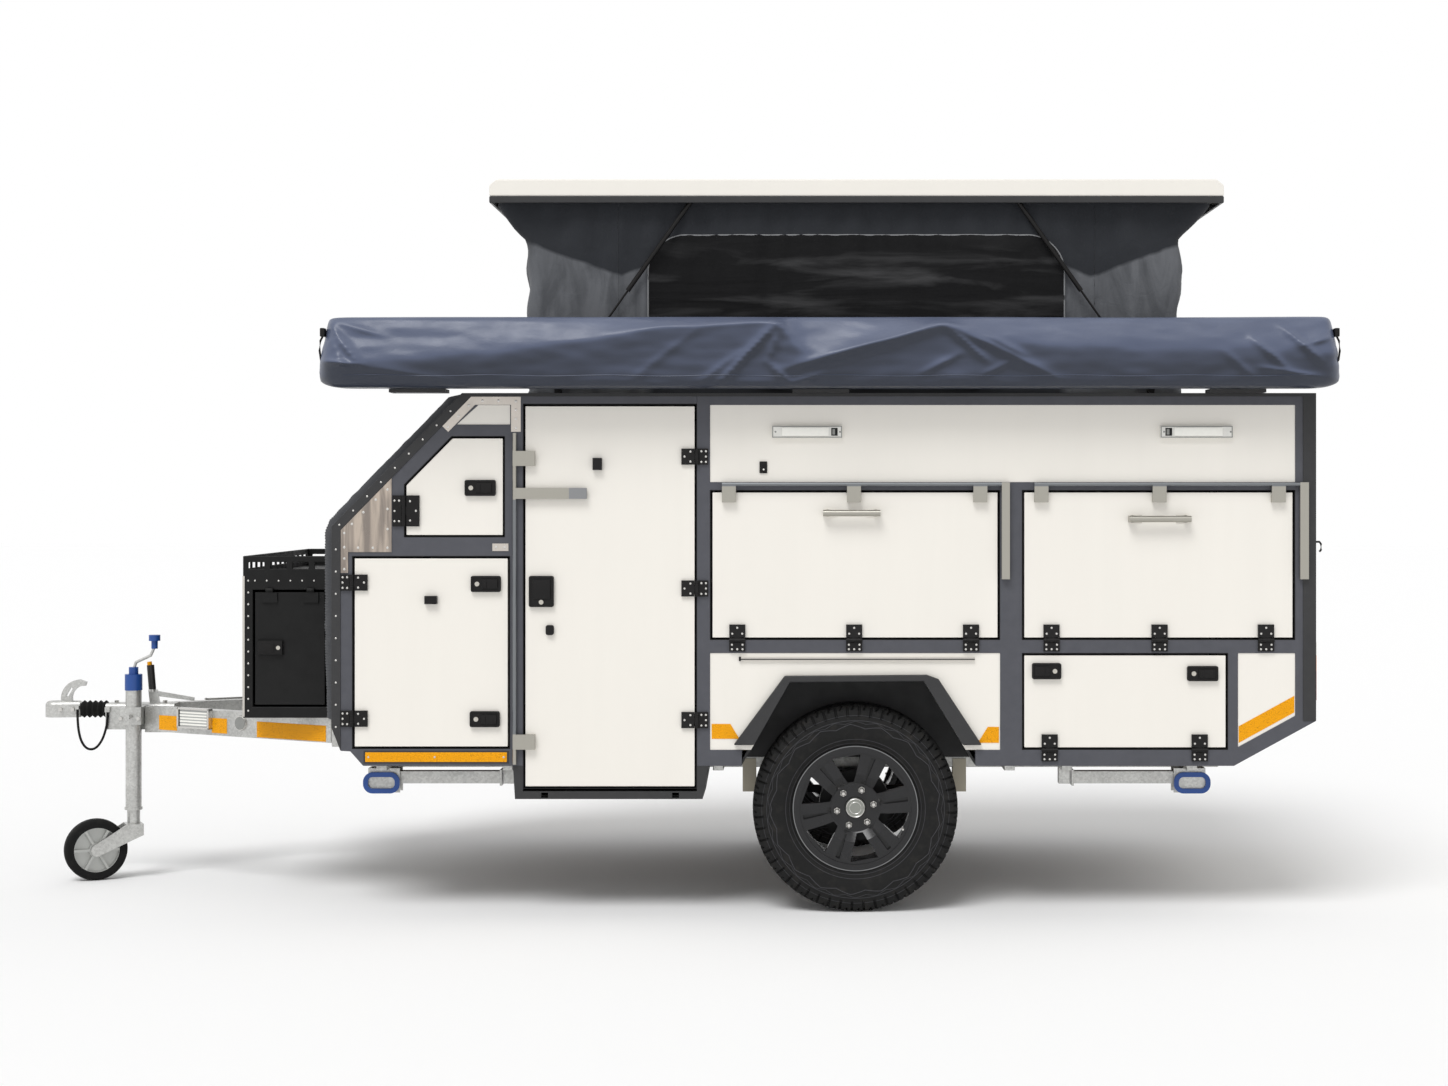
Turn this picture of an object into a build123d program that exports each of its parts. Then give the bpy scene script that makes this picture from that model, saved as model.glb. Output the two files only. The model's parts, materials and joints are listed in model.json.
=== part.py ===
# Off-road pop-top caravan, in millimetres.
# Origin: centre of the tow-ball socket. +X runs rearwards, +Y to the far side, +Z up.
# The door side is -Y. Heights in this file are given above the ground, and the helper
# planes below turn them into the frame.
import os
from math import atan2, cos, degrees, hypot, radians, sin, tan

from build123d import *

os.makedirs("parts", exist_ok=True)

# Driving dimensions: running gear
ball_height = 680.0          # tow-ball socket above the ground
ball_radius = 25.2           # socket for a 50 mm ball
axle_x = 3281.0              # axle behind the ball
tyre_radius = 388.0
tyre_width = 265.0
rim_radius = 236.0           # outside of the rim flange
track = 1595.0
jockey_x = 339.0
jockey_y = -105.0
jockey_trail = 150.0         # castor offset of the jockey wheel
jockey_yaw = 25.0            # how far the castor is turned to the door side
jockey_wheel_radius = 124.0
jockey_tube_radius = 32.0

# Driving dimensions: body
half_width = 950.0           # outer face of the side walls
wall = 40.0                  # thickness of walls, doors, floor and roof
front_x = 1320.0             # outer face of the front wall
rear_x = 5003.0              # outer face of the rear wall
rail_low = 554.0             # underside of the body's bottom rail
rail_high = 614.0            # top of the bottom rail
roof_high = 1949.0           # top of the roof deck
roof_low = roof_high - wall
slope_low = 1450.0           # where the front slope starts
slope_x = 1808.0             # where the front slope meets the roof
tail_x = rear_x - 307.0      # where the tail's cut-up starts
tail_high = 722.0            # where it meets the rear wall
post_a = (1988.0, 2036.0)    # post in front of the entrance door
post_b = (2687.0, 2736.0)    # post behind it
post_c = (3821.0, 3903.0)    # post between the two big hatches
post_d = (tail_x - 22.0, tail_x + 15.0)   # short post behind the rear locker
rear_post = rear_x - 78.0    # front edge of the rear corner post
upper_rail = (1586.0, 1616.0)
middle_rail = (976.0, 1025.0)
front_rail = (1339.0, 1409.0)
door_low = 468.0             # bottom of the entrance door, in its step well
well_low = 430.0
well_deep = 318.0            # step well, from the side face inwards
door_gap = 9.0               # running gap round doors and hatches
inside = half_width - wall

# Driving dimensions: pop-top
lid_x = (1896.0, rear_x - 326.0)
lid_half_width = 850.0
lid_high = 2763.0
lid_white = 64.0             # height of the lid's pale rim
lid_trim_high = 26.0         # dark ribbed edge below it
lid_skin = 28.0
lid_wall = 12.0
canvas_x = (2026.0, rear_x - 473.0)
canvas_half_width = 800.0
canvas_skin = 8.0
strut_y = 820.0

# Driving dimensions: front end and awning
nose_x = (905.0, 1268.0)
nose_half_width = 600.0
nose_low = ball_height + 20.0
nose_high = nose_low + 556.0
nose_skin = 20.0
drawbar_low = ball_height - 80.0
awning_x = (front_x - 18.0, rear_x + 59.0)
awning_deep = 228.0
awning_low = 1962.0
awning_high = 2232.0

# Fits
running_gap = 0.05           # shafts in their bores, on the radius
seat_gap = 5.5               # moving pieces beside fixed ones


def level(height):
    """Horizontal plane at a height above the ground."""
    return Plane.XY.offset(height - ball_height)


def side(y):
    """Upright plane along the caravan: sketch x runs rearwards, sketch y is height, out is -Y."""
    return Plane(origin=(0, y, -ball_height), x_dir=(1, 0, 0), z_dir=(0, -1, 0))


def across(x):
    """Upright plane across the caravan: sketch x runs to the far side, sketch y is height."""
    return Plane(origin=(x, 0, -ball_height), x_dir=(0, 1, 0), z_dir=(1, 0, 0))


def bar(x, y, h, mode=Mode.ADD):
    """Square-edged bar between two x, two y and two heights."""
    with BuildSketch(level(h[0])) as outline:
        with Locations(((x[0] + x[1]) / 2, (y[0] + y[1]) / 2)):
            Rectangle(x[1] - x[0], y[1] - y[0])
    extrude(outline.sketch, amount=h[1] - h[0], mode=mode)


def plate(points, plane, thickness, mode=Mode.ADD):
    """Flat plate: an outline on a plane, drawn out to a thickness."""
    with BuildSketch(plane) as outline:
        with BuildLine():
            Polyline(*points, close=True)
        make_face()
    extrude(outline.sketch, amount=thickness, mode=mode)


def rod(start, end, radius, mode=Mode.ADD):
    """Round bar between two points given as x, y and height above the ground."""
    axis = Vector(*end) - Vector(*start)
    base = Plane(origin=Vector(*start) - Vector(0, 0, ball_height), z_dir=axis)
    with BuildSketch(base) as outline:
        Circle(radius)
    extrude(outline.sketch, amount=axis.length, mode=mode)


def box_outline(x, h):
    """Corners of an upright rectangle."""
    return [(x[0], h[0]), (x[1], h[0]), (x[1], h[1]), (x[0], h[1])]


def save(piece, name):
    """Label a finished piece and write its file."""
    piece.part.label = name
    export_step(piece.part, f"parts/{name}.step")


# The body's chin: how far behind the front wall's face, height
chin = [(0.0, 697.0), (34.0, 610.0), (70.0, 608.0), (118.0, rail_low)]
chin_end = front_x + chin[-1][0]

# Chassis: two long rails, and crossmembers out to the side walls
chassis_low = 512.0
chassis_rail_y = (575.0, 625.0)
outrigger_low = 532.0
outrigger_wide = 40.0
outrigger_x = [1480.0, 1955.0, 2745.0, 3840.0, 4055.0, 4525.0]

with BuildPart() as chassis_frame:
    for hand in (-1, 1):
        rail = sorted((hand * chassis_rail_y[0], hand * chassis_rail_y[1]))
        bar((chin_end, tail_x), rail, (chassis_low, rail_low))
    for x in outrigger_x:
        bar((x, x + outrigger_wide), (-inside, inside), (outrigger_low, rail_low))
save(chassis_frame, "chassis_frame")

# Drawbar: an A of two box tubes from the overrun housing to a headstock at the front wall, with two
# arms under the body's chin to the chassis rails
drawbar_wide = 60.0
drawbar_high = nose_low
headstock_x = (1258.0, front_x)
headstock_half = 640.0
arm_low = 568.0              # underside of the arms at the chin's step
housing_x = (207.0, 490.0)
drawbar_x = 400.0           # front ends of the A's tubes
seat_plate = 8.0
housing_half_width = 50.0

with BuildPart() as drawbar:
    for hand in (-1, 1):
        start = (drawbar_x, hand * (housing_half_width + drawbar_wide / 2))
        end = (headstock_x[0], hand * (chassis_rail_y[0] - 20))
        run = Vector(end[0] - start[0], end[1] - start[1])
        flank = run.rotate(Axis.Z, 90).normalized() * drawbar_wide / 2
        corners = [(start[0] + flank.X, start[1] + flank.Y), (end[0] + flank.X, end[1] + flank.Y),
                   (end[0] - flank.X, end[1] - flank.Y), (start[0] - flank.X, start[1] - flank.Y)]
        plate(corners, level(drawbar_low), drawbar_high - drawbar_low)
        arm = [(front_x + back, high) for back, high in chin]
        arm += [(chin_end, chassis_low), (front_x + chin[2][0], arm_low),
                (headstock_x[1], drawbar_low - seat_plate)]
        rail = sorted((hand * chassis_rail_y[0], hand * chassis_rail_y[1]))
        plate(arm, side(rail[1]), rail[1] - rail[0])
    bar(headstock_x, (-headstock_half, headstock_half), (drawbar_low - seat_plate, drawbar_high))
    bar((0, housing_x[1]), (-housing_half_width, housing_half_width), (0, roof_high), mode=Mode.SUBTRACT)
    bar((drawbar_x - 20, housing_x[1] + 60), (-housing_half_width - 40, housing_half_width + 40),
        (drawbar_low - seat_plate, drawbar_low))
save(drawbar, "drawbar")

# Overrun housing, with the jockey wheel's clamp on the door side
shaft_radius = 20.0
housing_high = ball_height + 26.0
clamp_x = (jockey_x - 42, jockey_x + 42)
clamp_high = (ball_height - 52.0, ball_height + 20.0)
clamp_reach = 46.0           # clamp, out from the column's middle
shaft_end = 260.0
cable_start = (218.0, -57.0)
cable_start_high = ball_height - 8.0
cable_clip_half = 10.0

with BuildPart() as coupling_housing:
    bar(housing_x, (-housing_half_width, housing_half_width), (drawbar_low, housing_high))
    fillet(coupling_housing.edges().filter_by(Axis.X).group_by(Axis.Z)[-1], 14)
    bar(clamp_x, (jockey_y - clamp_reach, -housing_half_width), clamp_high)
    rod((jockey_x, jockey_y, clamp_high[0]), (jockey_x, jockey_y, clamp_high[1]), jockey_tube_radius,
        mode=Mode.SUBTRACT)
    rod((housing_x[0], 0, ball_height), (shaft_end, 0, ball_height), shaft_radius, mode=Mode.SUBTRACT)
    screw_high = (clamp_high[0] + clamp_high[1]) / 2
    rod((jockey_x, jockey_y - 2 * clamp_reach, screw_high), (jockey_x, jockey_y - clamp_reach, screw_high), 9)
    bar((cable_start[0] - cable_clip_half, cable_start[0] + cable_clip_half),
        (cable_start[1] - 7, -housing_half_width), (cable_start_high, cable_start_high + 2 * cable_clip_half))
save(coupling_housing, "coupling_housing")

# Coupling head: cast nose round the ball socket, on the overrun shaft
head_x = (-54.0, 95.0)
head_half_width = 43.0
head_high = (ball_height - 32.0, ball_height + 34.0)
socket_high = ball_height + 12.0
cable_end = (88.0, -38.0)
cable_end_high = ball_height + 2.0

with BuildPart() as coupling_head:
    with BuildSketch(level(head_high[0])) as head_plan:
        with Locations(((head_x[0] + head_half_width), 0)):
            Circle(head_half_width)
        with BuildLine():
            Polyline((head_x[0] + head_half_width, head_half_width), (head_x[1], shaft_radius + 6),
                     (head_x[1], -shaft_radius - 6), (head_x[0] + head_half_width, -head_half_width), close=True)
        make_face()
    extrude(head_plan.sketch, amount=head_high[1] - head_high[0])
    fillet(coupling_head.faces().sort_by(Axis.Z)[-1].edges(), 18)
    rod((0, 0, head_high[0]), (0, 0, socket_high), ball_radius, mode=Mode.SUBTRACT)
    rod((head_x[1], 0, ball_height), (shaft_end, 0, ball_height), shaft_radius)
    bar((cable_end[0] - 8, head_x[1]), (cable_end[1] - 8, -shaft_radius), (cable_end_high, cable_end_high + 14))
save(coupling_head, "coupling_head")

# Rubber gaiter: five folds between the head and the housing
gaiter_folds = 5
gaiter_radius = (27.0, 36.0)

with BuildPart() as coupling_gaiter:
    with BuildSketch(Plane.XZ) as bellows:
        with BuildLine():
            pitch = (housing_x[0] - head_x[1]) / gaiter_folds
            folds = [(head_x[1], gaiter_radius[0])]
            for fold in range(gaiter_folds):
                folds.append((head_x[1] + (fold + 0.5) * pitch, gaiter_radius[1]))
                folds.append((head_x[1] + (fold + 1) * pitch, gaiter_radius[0]))
            Polyline((head_x[1], shaft_radius), *folds, (housing_x[0], shaft_radius), close=True)
        make_face()
    revolve(bellows.sketch, axis=Axis.X)
save(coupling_gaiter, "coupling_gaiter")

# Hand levers: the coupling's curved release lever, and the handbrake with its grip
lever_wide = 26.0
brake_x = 388.0
grip_radius = 15.0
grip_high = (housing_high + 46.0, housing_high + 156.0)

with BuildPart() as drawbar_levers:
    with BuildSketch(side(lever_wide / 2)) as release:
        base = head_high[1]
        with BuildLine():
            ThreePointArc((12, base), (30, base + 60), (86, base + 88))
            Line((86, base + 88), (115, base + 78))
            Line((115, base + 78), (110, base + 62))
            ThreePointArc((110, base + 62), (68, base + 46), (56, base))
            Line((56, base), (12, base))
        make_face()
        with Locations(Location((45, base + 36), 60)):
            SlotOverall(46, 12, mode=Mode.SUBTRACT)
    extrude(release.sketch, amount=lever_wide)
    plate([(brake_x - 10, housing_high), (brake_x + 30, housing_high), (brake_x + 20, grip_high[0] + 8),
           (brake_x - 16, grip_high[0] + 8)], side(8), 16)
    plate([(brake_x, housing_high + 30), (brake_x + 12, grip_high[0] + 4), (560, housing_high + 22),
           (560, housing_high + 8)], side(6), 12)
    rod((brake_x, 0, grip_high[0]), (brake_x - 9, 0, grip_high[1]), grip_radius)
save(drawbar_levers, "drawbar_levers")

# Jockey column: clamped tube with a foot ring, winding collar and neck, bent crank rod and star knob
column_high = (278.0, ball_height + 87.0)
foot_ring = 10.0
collar_high = column_high[1] + 65.0
neck_high = collar_high + 29.0
stem_radius = 26.0
stem_deep = 90.0
crank_radius = 6.0
# crank: out behind the column, above the neck
crank = [(0.0, -10.0), (10.0, 20.0), (70.0, 48.0), (86.0, 84.0)]
knob_high = (neck_high + 76.0, neck_high + 108.0, neck_high + 132.0)
knob_radius = (13.0, 23.0)

with BuildPart() as jockey_column:
    foot = (jockey_x, jockey_y, column_high[0])
    rod(foot, (jockey_x, jockey_y, column_high[1]), jockey_tube_radius)
    rod(foot, (jockey_x, jockey_y, column_high[0] + foot_ring), jockey_tube_radius + 4)
    rod((jockey_x, jockey_y, column_high[1]), (jockey_x, jockey_y, collar_high), jockey_tube_radius + 3)
    rod((jockey_x, jockey_y, collar_high), (jockey_x, jockey_y, neck_high), 19)
    bends = [(jockey_x + out, jockey_y, neck_high + rise) for out, rise in crank]
    for start, end in zip(bends, bends[1:]):
        rod(start, end, crank_radius)
    with Locations(*[Vector(*bend) - Vector(0, 0, ball_height) for bend in bends[1:-1]]):
        Sphere(crank_radius)
    top = bends[-1][:2]
    rod((*top, knob_high[0]), (*top, knob_high[1]), knob_radius[0])
    rod((*top, knob_high[1]), (*top, knob_high[2]), knob_radius[1])
    rod(foot, (jockey_x, jockey_y, column_high[0] + stem_deep), stem_radius + running_gap, mode=Mode.SUBTRACT)
save(jockey_column, "jockey_column")

# Jockey fork and wheel, built on a plane turned with the castor
castor = Plane(origin=(jockey_x, jockey_y, -ball_height),
               x_dir=(-cos(radians(jockey_yaw)), -sin(radians(jockey_yaw)), 0),
               z_dir=(-sin(radians(jockey_yaw)), cos(radians(jockey_yaw)), 0))
jockey_wheel_wide = 62.0
fork_gap = 6.0
fork_plate = 7.0
crown_high = (176.0, 222.0)
crown_x = (-34.0, 34.0)
crown_thick = 12.0
fork_eye = 24.0              # round end of the fork's plates
jockey_pin_radius = 8.0
jockey_hub_radius = 88.0
jockey_boss_radius = 30.0
jockey_dish = 17.0           # depth of the hub's dish on both faces
jockey_ribs = 6
jockey_rib = 10.0

with BuildPart() as jockey_fork:
    rod((jockey_x, jockey_y, crown_high[0]), (jockey_x, jockey_y, column_high[0] + stem_deep - 6), stem_radius)
    reach = jockey_wheel_wide / 2 + fork_gap + fork_plate
    for flank in (-reach, reach - fork_plate):
        with BuildSketch(castor.offset(flank)) as arm:
            with BuildLine():
                Polyline((crown_x[0], crown_high[1]), (crown_x[1], crown_high[1]),
                         (jockey_trail + 11, jockey_wheel_radius + 21), (jockey_trail - 11, jockey_wheel_radius - 21),
                         (crown_x[0], crown_high[0]), close=True)
            make_face()
            with Locations((jockey_trail, jockey_wheel_radius)):
                Circle(fork_eye)
        extrude(arm.sketch, amount=fork_plate)
    plate(box_outline(crown_x, (crown_high[1] - crown_thick, crown_high[1])), castor.offset(-reach), 2 * reach)
    with BuildSketch(castor.offset(-reach)) as pin:
        with Locations((jockey_trail, jockey_wheel_radius)):
            Circle(jockey_pin_radius)
    extrude(pin.sketch, amount=2 * reach)
save(jockey_fork, "jockey_fork")

with BuildPart() as jockey_wheel:
    with BuildSketch(castor.offset(-jockey_wheel_wide / 2)) as jockey_disc:
        with Locations((jockey_trail, jockey_wheel_radius)):
            Circle(jockey_wheel_radius)
            Circle(jockey_pin_radius + running_gap, mode=Mode.SUBTRACT)
    extrude(jockey_disc.sketch, amount=jockey_wheel_wide)
    rims = jockey_wheel.edges().filter_by(GeomType.CIRCLE).group_by(SortBy.RADIUS)[-1]
    fillet(rims, 16)
    for way in (1, -1):
        with BuildSketch(castor.offset(-way * jockey_wheel_wide / 2)) as dish:
            with Locations((jockey_trail, jockey_wheel_radius)):
                Circle(jockey_hub_radius)
                Circle(jockey_boss_radius, mode=Mode.SUBTRACT)
                with PolarLocations((jockey_hub_radius + jockey_boss_radius) / 2, jockey_ribs):
                    Rectangle(jockey_hub_radius - jockey_boss_radius + jockey_rib, jockey_rib, mode=Mode.SUBTRACT)
        extrude(dish.sketch, amount=way * jockey_dish, mode=Mode.SUBTRACT)
save(jockey_wheel, "jockey_wheel")

# Axle: square beam on leaf springs, with drums and stub axles for the wheels
beam_half = 25.0
wheel_y = track / 2
drum_radius = 135.0
drum_y = (690.0, 800.0)
stub_radius = 22.0
stub_end = 880.0
spring_eye_x = (2876.0, 3690.0)
spring_eye_high = 440.0
leaf_thick = 8.0
leaf_bite = 1.0              # each leaf is clamped this far into the next
leaf_half_width = 25.0
hanger_plate = 8.0
# leaves, from the beam up: share of the spring's length
leaf_share = [0.45, 0.72, 1.0]

with BuildPart() as axle_assembly:
    bar((axle_x - beam_half, axle_x + beam_half), (-drum_y[0], drum_y[0]),
        (tyre_radius - beam_half, tyre_radius + beam_half))
    spring_y = (chassis_rail_y[0] + chassis_rail_y[1]) / 2
    for hand in (-1, 1):
        rod((axle_x, hand * drum_y[0], tyre_radius), (axle_x, hand * drum_y[1], tyre_radius), drum_radius)
        rod((axle_x, hand * drum_y[1], tyre_radius), (axle_x, hand * stub_end, tyre_radius), stub_radius)
        for number, share in enumerate(leaf_share):
            low = tyre_radius + beam_half + number * leaf_thick - leaf_bite
            high = low + leaf_thick + leaf_bite
            ends = [axle_x + (eye - axle_x) * share for eye in spring_eye_x]
            rise = 10.0 * share * share
            with BuildSketch(side(hand * spring_y + leaf_half_width)) as leaf:
                with BuildLine():
                    ThreePointArc((ends[0], low + rise), (axle_x, low), (ends[1], low + rise))
                    Line((ends[1], low + rise), (ends[1], high + rise))
                    ThreePointArc((ends[1], high + rise), (axle_x, high), (ends[0], high + rise))
                    Line((ends[0], high + rise), (ends[0], low + rise))
                make_face()
            extrude(leaf.sketch, amount=2 * leaf_half_width)
        for eye in spring_eye_x:
            reach = chassis_rail_y[1] - spring_y + hanger_plate
            rod((eye, hand * spring_y - reach, spring_eye_high), (eye, hand * spring_y + reach, spring_eye_high), 11)
            for flank in (-reach, reach - hanger_plate):
                cheek = (hand * spring_y + flank, hand * spring_y + flank + hanger_plate)
                bar((eye - 26, eye + 26), cheek, (spring_eye_high - 22, rail_low - seat_plate))
save(axle_assembly, "axle_assembly")

# Wheels: tyre and six-double-spoke rim on the door side, mirrored for the far side
bead_radius = 220.0
rim_half = 105.0
flange = 7.0
barrel = 9.0
hub_radius = 58.0
hub_out = 70.0               # face of the hub, out from the tyre's middle
spoke_out = 93.0             # spokes stand out to here
spoke_rise = 128.0           # at this radius
cap_radius = 40.0
cap_proud = 20.0
nut_circle = 69.85
nut_recess = 15.0
recess_deep = 6.0
spoke_turn = 10.0            # middle of the first pair of spokes, in degrees
# tyre section: out from the tyre's middle, radius
tyre_section = [(rim_half - flange, bead_radius), (rim_half - flange, rim_radius + 2), (112, rim_radius + 9),
                (131.5, 300), (tyre_width / 2, 330), (129, 362), (112, tyre_radius - 6), (96, tyre_radius)]
wheel_axis = Axis((axle_x, 0, tyre_radius - ball_height), (0, 1, 0))
# cuts in the disc: inner radius, half angle there, outer radius, half angle there, turn from a pair, depth
spoke_cuts = [(97, 7.0, 204, 15.5, 30.0, rim_half), (104, 2.2, 200, 2.6, 0.0, 34.0)]


def turned(radius, angle):
    """Point on the wheel's face at a radius and an angle in degrees."""
    return (axle_x + radius * cos(radians(angle)), tyre_radius + radius * sin(radians(angle)))


with BuildPart() as tyre_near:
    section = [(-wheel_y - out, tyre_radius + radius) for out, radius in tyre_section]
    section += [(-wheel_y + out, tyre_radius + radius) for out, radius in reversed(tyre_section)]
    with BuildSketch(across(axle_x)) as tyre_outline:
        with BuildLine():
            Polyline(*section, close=True)
        make_face()
    revolve(tyre_outline.sketch, axis=wheel_axis)
save(tyre_near, "tyre_near")

with BuildPart() as rim_near:
    ring = [(-rim_half, bead_radius - barrel), (-rim_half, rim_radius), (flange - rim_half, rim_radius),
            (flange - rim_half, bead_radius), (rim_half - flange, bead_radius), (rim_half - flange, rim_radius),
            (rim_half, rim_radius), (rim_half, bead_radius - barrel)]
    disc = [(20, stub_radius + running_gap), (20, hub_radius), (hub_out - 26, hub_radius + 16),
            (spoke_out - 36, spoke_rise), (rim_half - 38, bead_radius - barrel), (rim_half - 9, bead_radius - barrel),
            (spoke_out, spoke_rise), (hub_out, hub_radius + 34), (hub_out, cap_radius),
            (hub_out + cap_proud, cap_radius - 5), (hub_out + cap_proud, 0), (stub_end - wheel_y + 2, 0),
            (stub_end - wheel_y + 2, stub_radius + running_gap)]
    for outline in (ring, disc):
        with BuildSketch(across(axle_x)) as rim_outline:
            with BuildLine():
                Polyline(*[(-wheel_y - out, tyre_radius + radius) for out, radius in outline], close=True)
            make_face()
        revolve(rim_outline.sketch, axis=wheel_axis)
    for inner, inner_half, outer, outer_half, turn, deep in spoke_cuts:
        for sixth in range(6):
            middle = spoke_turn + turn + 60 * sixth
            with BuildSketch(side(-wheel_y - rim_half)) as window:
                with BuildLine():
                    Polyline(turned(inner, middle - inner_half), turned(outer, middle - outer_half),
                             turned(outer, middle + outer_half), turned(inner, middle + inner_half), close=True)
                make_face()
                fillet(window.vertices(), 3)
            extrude(window.sketch, amount=-deep, mode=Mode.SUBTRACT)
    for sixth in range(6):
        x, high = turned(nut_circle, spoke_turn + 60 * sixth)
        rod((x, -wheel_y - rim_half, high), (x, -wheel_y - hub_out + recess_deep, high), nut_recess,
            mode=Mode.SUBTRACT)
save(rim_near, "rim_near")

with BuildPart() as tyre_far:
    mirror(tyre_near.part, about=Plane.XZ)
save(tyre_far, "tyre_far")

with BuildPart() as rim_far:
    mirror(rim_near.part, about=Plane.XZ)
save(rim_far, "rim_far")

# Floor on the chassis, cut out for the wheel tubs and the step well
floor_low = rail_low
floor_thick = 30.0
arch = [(2855.0, rail_low), (3034.0, 868.0), (3535.0, 872.0), (3729.0, rail_low)]
tub_skin = 10.0
tub_inner = 632.0            # inner face of the wheel tubs
well_x = (post_a[0] + 9, post_b[1])
well_taper = (9.0, 28.0)     # how far the well's ends lean in at its bottom
drain_x = (2104.0, 2594.0)
drain = (26.0, 20.0)         # drain slots in the well's sill, long and high

with BuildPart() as floor_panel:
    bar((chin_end, tail_x), (-inside, inside), (floor_low, floor_low + floor_thick))
    for hand in (-1, 1):
        bar((arch[0][0] - tub_skin, arch[3][0] + tub_skin), sorted((hand * tub_inner, hand * half_width)),
            (0, rail_high), mode=Mode.SUBTRACT)
    bar(well_x, (-half_width, -half_width + well_deep), (0, rail_high), mode=Mode.SUBTRACT)
save(floor_panel, "floor_panel")

# Step well under the door, and a tub over each wheel
with BuildPart() as body_tubs:
    well_foot = (well_x[0] + well_taper[0], well_x[1] - well_taper[1])
    plate([(well_x[0], floor_low + floor_thick), (well_foot[0], well_low), (well_foot[1], well_low),
           (well_x[1], floor_low + floor_thick)], side(-half_width + well_deep), well_deep)
    plate([(well_x[0] + tub_skin, rail_high), (well_foot[0] + tub_skin, well_low + tub_skin),
           (well_foot[1] - tub_skin, well_low + tub_skin), (well_x[1] - tub_skin, rail_high)],
          side(-half_width + well_deep - tub_skin), well_deep - tub_skin - wall, mode=Mode.SUBTRACT)
    for x in drain_x:
        bar((x, x + drain[0]), (-half_width, -half_width + wall), (well_low + 4, well_low + 4 + drain[1]),
            mode=Mode.SUBTRACT)
    bar((post_a[1], post_b[0]), (-half_width, -half_width + wall), (door_low - door_gap, rail_high),
        mode=Mode.SUBTRACT)
    bar(well_x, (-half_width, -half_width + wall), (rail_low, rail_high), mode=Mode.SUBTRACT)
    for hand in (-1, 1):
        roof_line = [(arch[0][0] - tub_skin, rail_low), (arch[1][0] - tub_skin, arch[1][1] + tub_skin),
                     (arch[2][0] + tub_skin, arch[2][1] + tub_skin), (arch[3][0] + tub_skin, rail_low)]
        start = -tub_inner if hand < 0 else inside
        plate(roof_line, side(start), inside - tub_inner)
        start = -tub_inner - tub_skin if hand < 0 else inside
        plate(arch, side(start), inside - tub_inner - tub_skin, mode=Mode.SUBTRACT)
save(body_tubs, "body_tubs")

# Side walls: a frame of posts and rails round panels, doors and hatches
chin_line = [(front_x + back, high) for back, high in chin]
silhouette = chin_line + [(tail_x, rail_low), (rear_x, tail_high), (rear_x, roof_high), (slope_x, roof_high),
                          (front_x, slope_low)]
front_door_x = (1397.0, post_a[0])
front_hatch_x = (1591.0, post_a[0] - 19)
front_hatch_high = (front_rail[1], 1788.0)
front_hatch_slope = (1607.0, 1769.0)   # height and x where its slanting edge starts and ends
upper_high = (upper_rail[1], 1904.0)


# doors and hatches: outlines of the openings they close
openings = {
    "entrance_door": box_outline((post_a[1], post_b[0]), (door_low, roof_low)),
    "front_door": box_outline(front_door_x, (rail_high + 3, front_rail[0])),
    "front_hatch": [(front_hatch_x[0], front_hatch_high[0]), (front_hatch_x[1], front_hatch_high[0]),
                    (front_hatch_x[1], front_hatch_high[1]), (front_hatch_slope[1], front_hatch_high[1]),
                    (front_hatch_x[0], front_hatch_slope[0])],
    "galley_hatch": box_outline((post_b[1], post_c[0]), (middle_rail[1], upper_rail[0])),
    "rear_hatch": box_outline((post_c[1], rear_post), (middle_rail[1], upper_rail[0])),
    "rear_locker": box_outline((post_c[1], post_d[0]), (rail_high, middle_rail[0])),
}
# fixed panels: outlines
tail_slope = (tail_high - rail_low) / (rear_x - tail_x)
tail_rail = 62.0             # height of the slanting rail under the tail panel


def tail_line(x):
    """Height of the tail panel's lower edge at x."""
    return rail_low + tail_rail + (x - tail_x) * tail_slope


fixed = {
    "gable": [(1788.0, 1831.0), (post_a[0], 1831.0), (post_a[0], upper_high[1]), (1869.0, upper_high[1])],
    "upper": box_outline((post_b[1], rear_post), upper_high),
    "arch": box_outline((post_b[1], post_c[0]), (rail_high, middle_rail[0])),
    "tail": [(post_d[1], tail_line(post_d[1])), (rear_post, tail_line(rear_post)), (rear_post, middle_rail[0]),
             (post_d[1], middle_rail[0])],
}
panel_inset = 3.0            # panels and doors sit this far behind the frame's face
below_rail = [(arch[0][0], 0), (arch[3][0], 0), (arch[3][0], rail_high), (arch[0][0], rail_high)]

with BuildPart() as near_front_frame:
    plate(silhouette, side(-inside), wall)
    bar((post_b[0], rear_x + wall), (-half_width, half_width), (0, lid_high), mode=Mode.SUBTRACT)
    bar((post_a[1], post_b[0]), (-half_width, half_width), (0, roof_low), mode=Mode.SUBTRACT)
    for name in ("front_door", "front_hatch"):
        plate(openings[name], side(-inside), wall, mode=Mode.SUBTRACT)
    plate(fixed["gable"], side(-inside), wall, mode=Mode.SUBTRACT)
save(near_front_frame, "near_front_frame")

with BuildPart() as near_rear_frame:
    plate(silhouette, side(-inside), wall)
    bar((0, post_b[0]), (-half_width, half_width), (0, lid_high), mode=Mode.SUBTRACT)
    for name in ("galley_hatch", "rear_hatch", "rear_locker"):
        plate(openings[name], side(-inside), wall, mode=Mode.SUBTRACT)
    for name in ("upper", "arch", "tail"):
        plate(fixed[name], side(-inside), wall, mode=Mode.SUBTRACT)
    plate(below_rail, side(-inside), wall, mode=Mode.SUBTRACT)
save(near_rear_frame, "near_rear_frame")

with BuildPart() as near_panels:
    for outline in fixed.values():
        plate(outline, side(-inside), wall - panel_inset)
    plate(arch, side(-inside), wall, mode=Mode.SUBTRACT)
save(near_panels, "near_panels")

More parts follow.
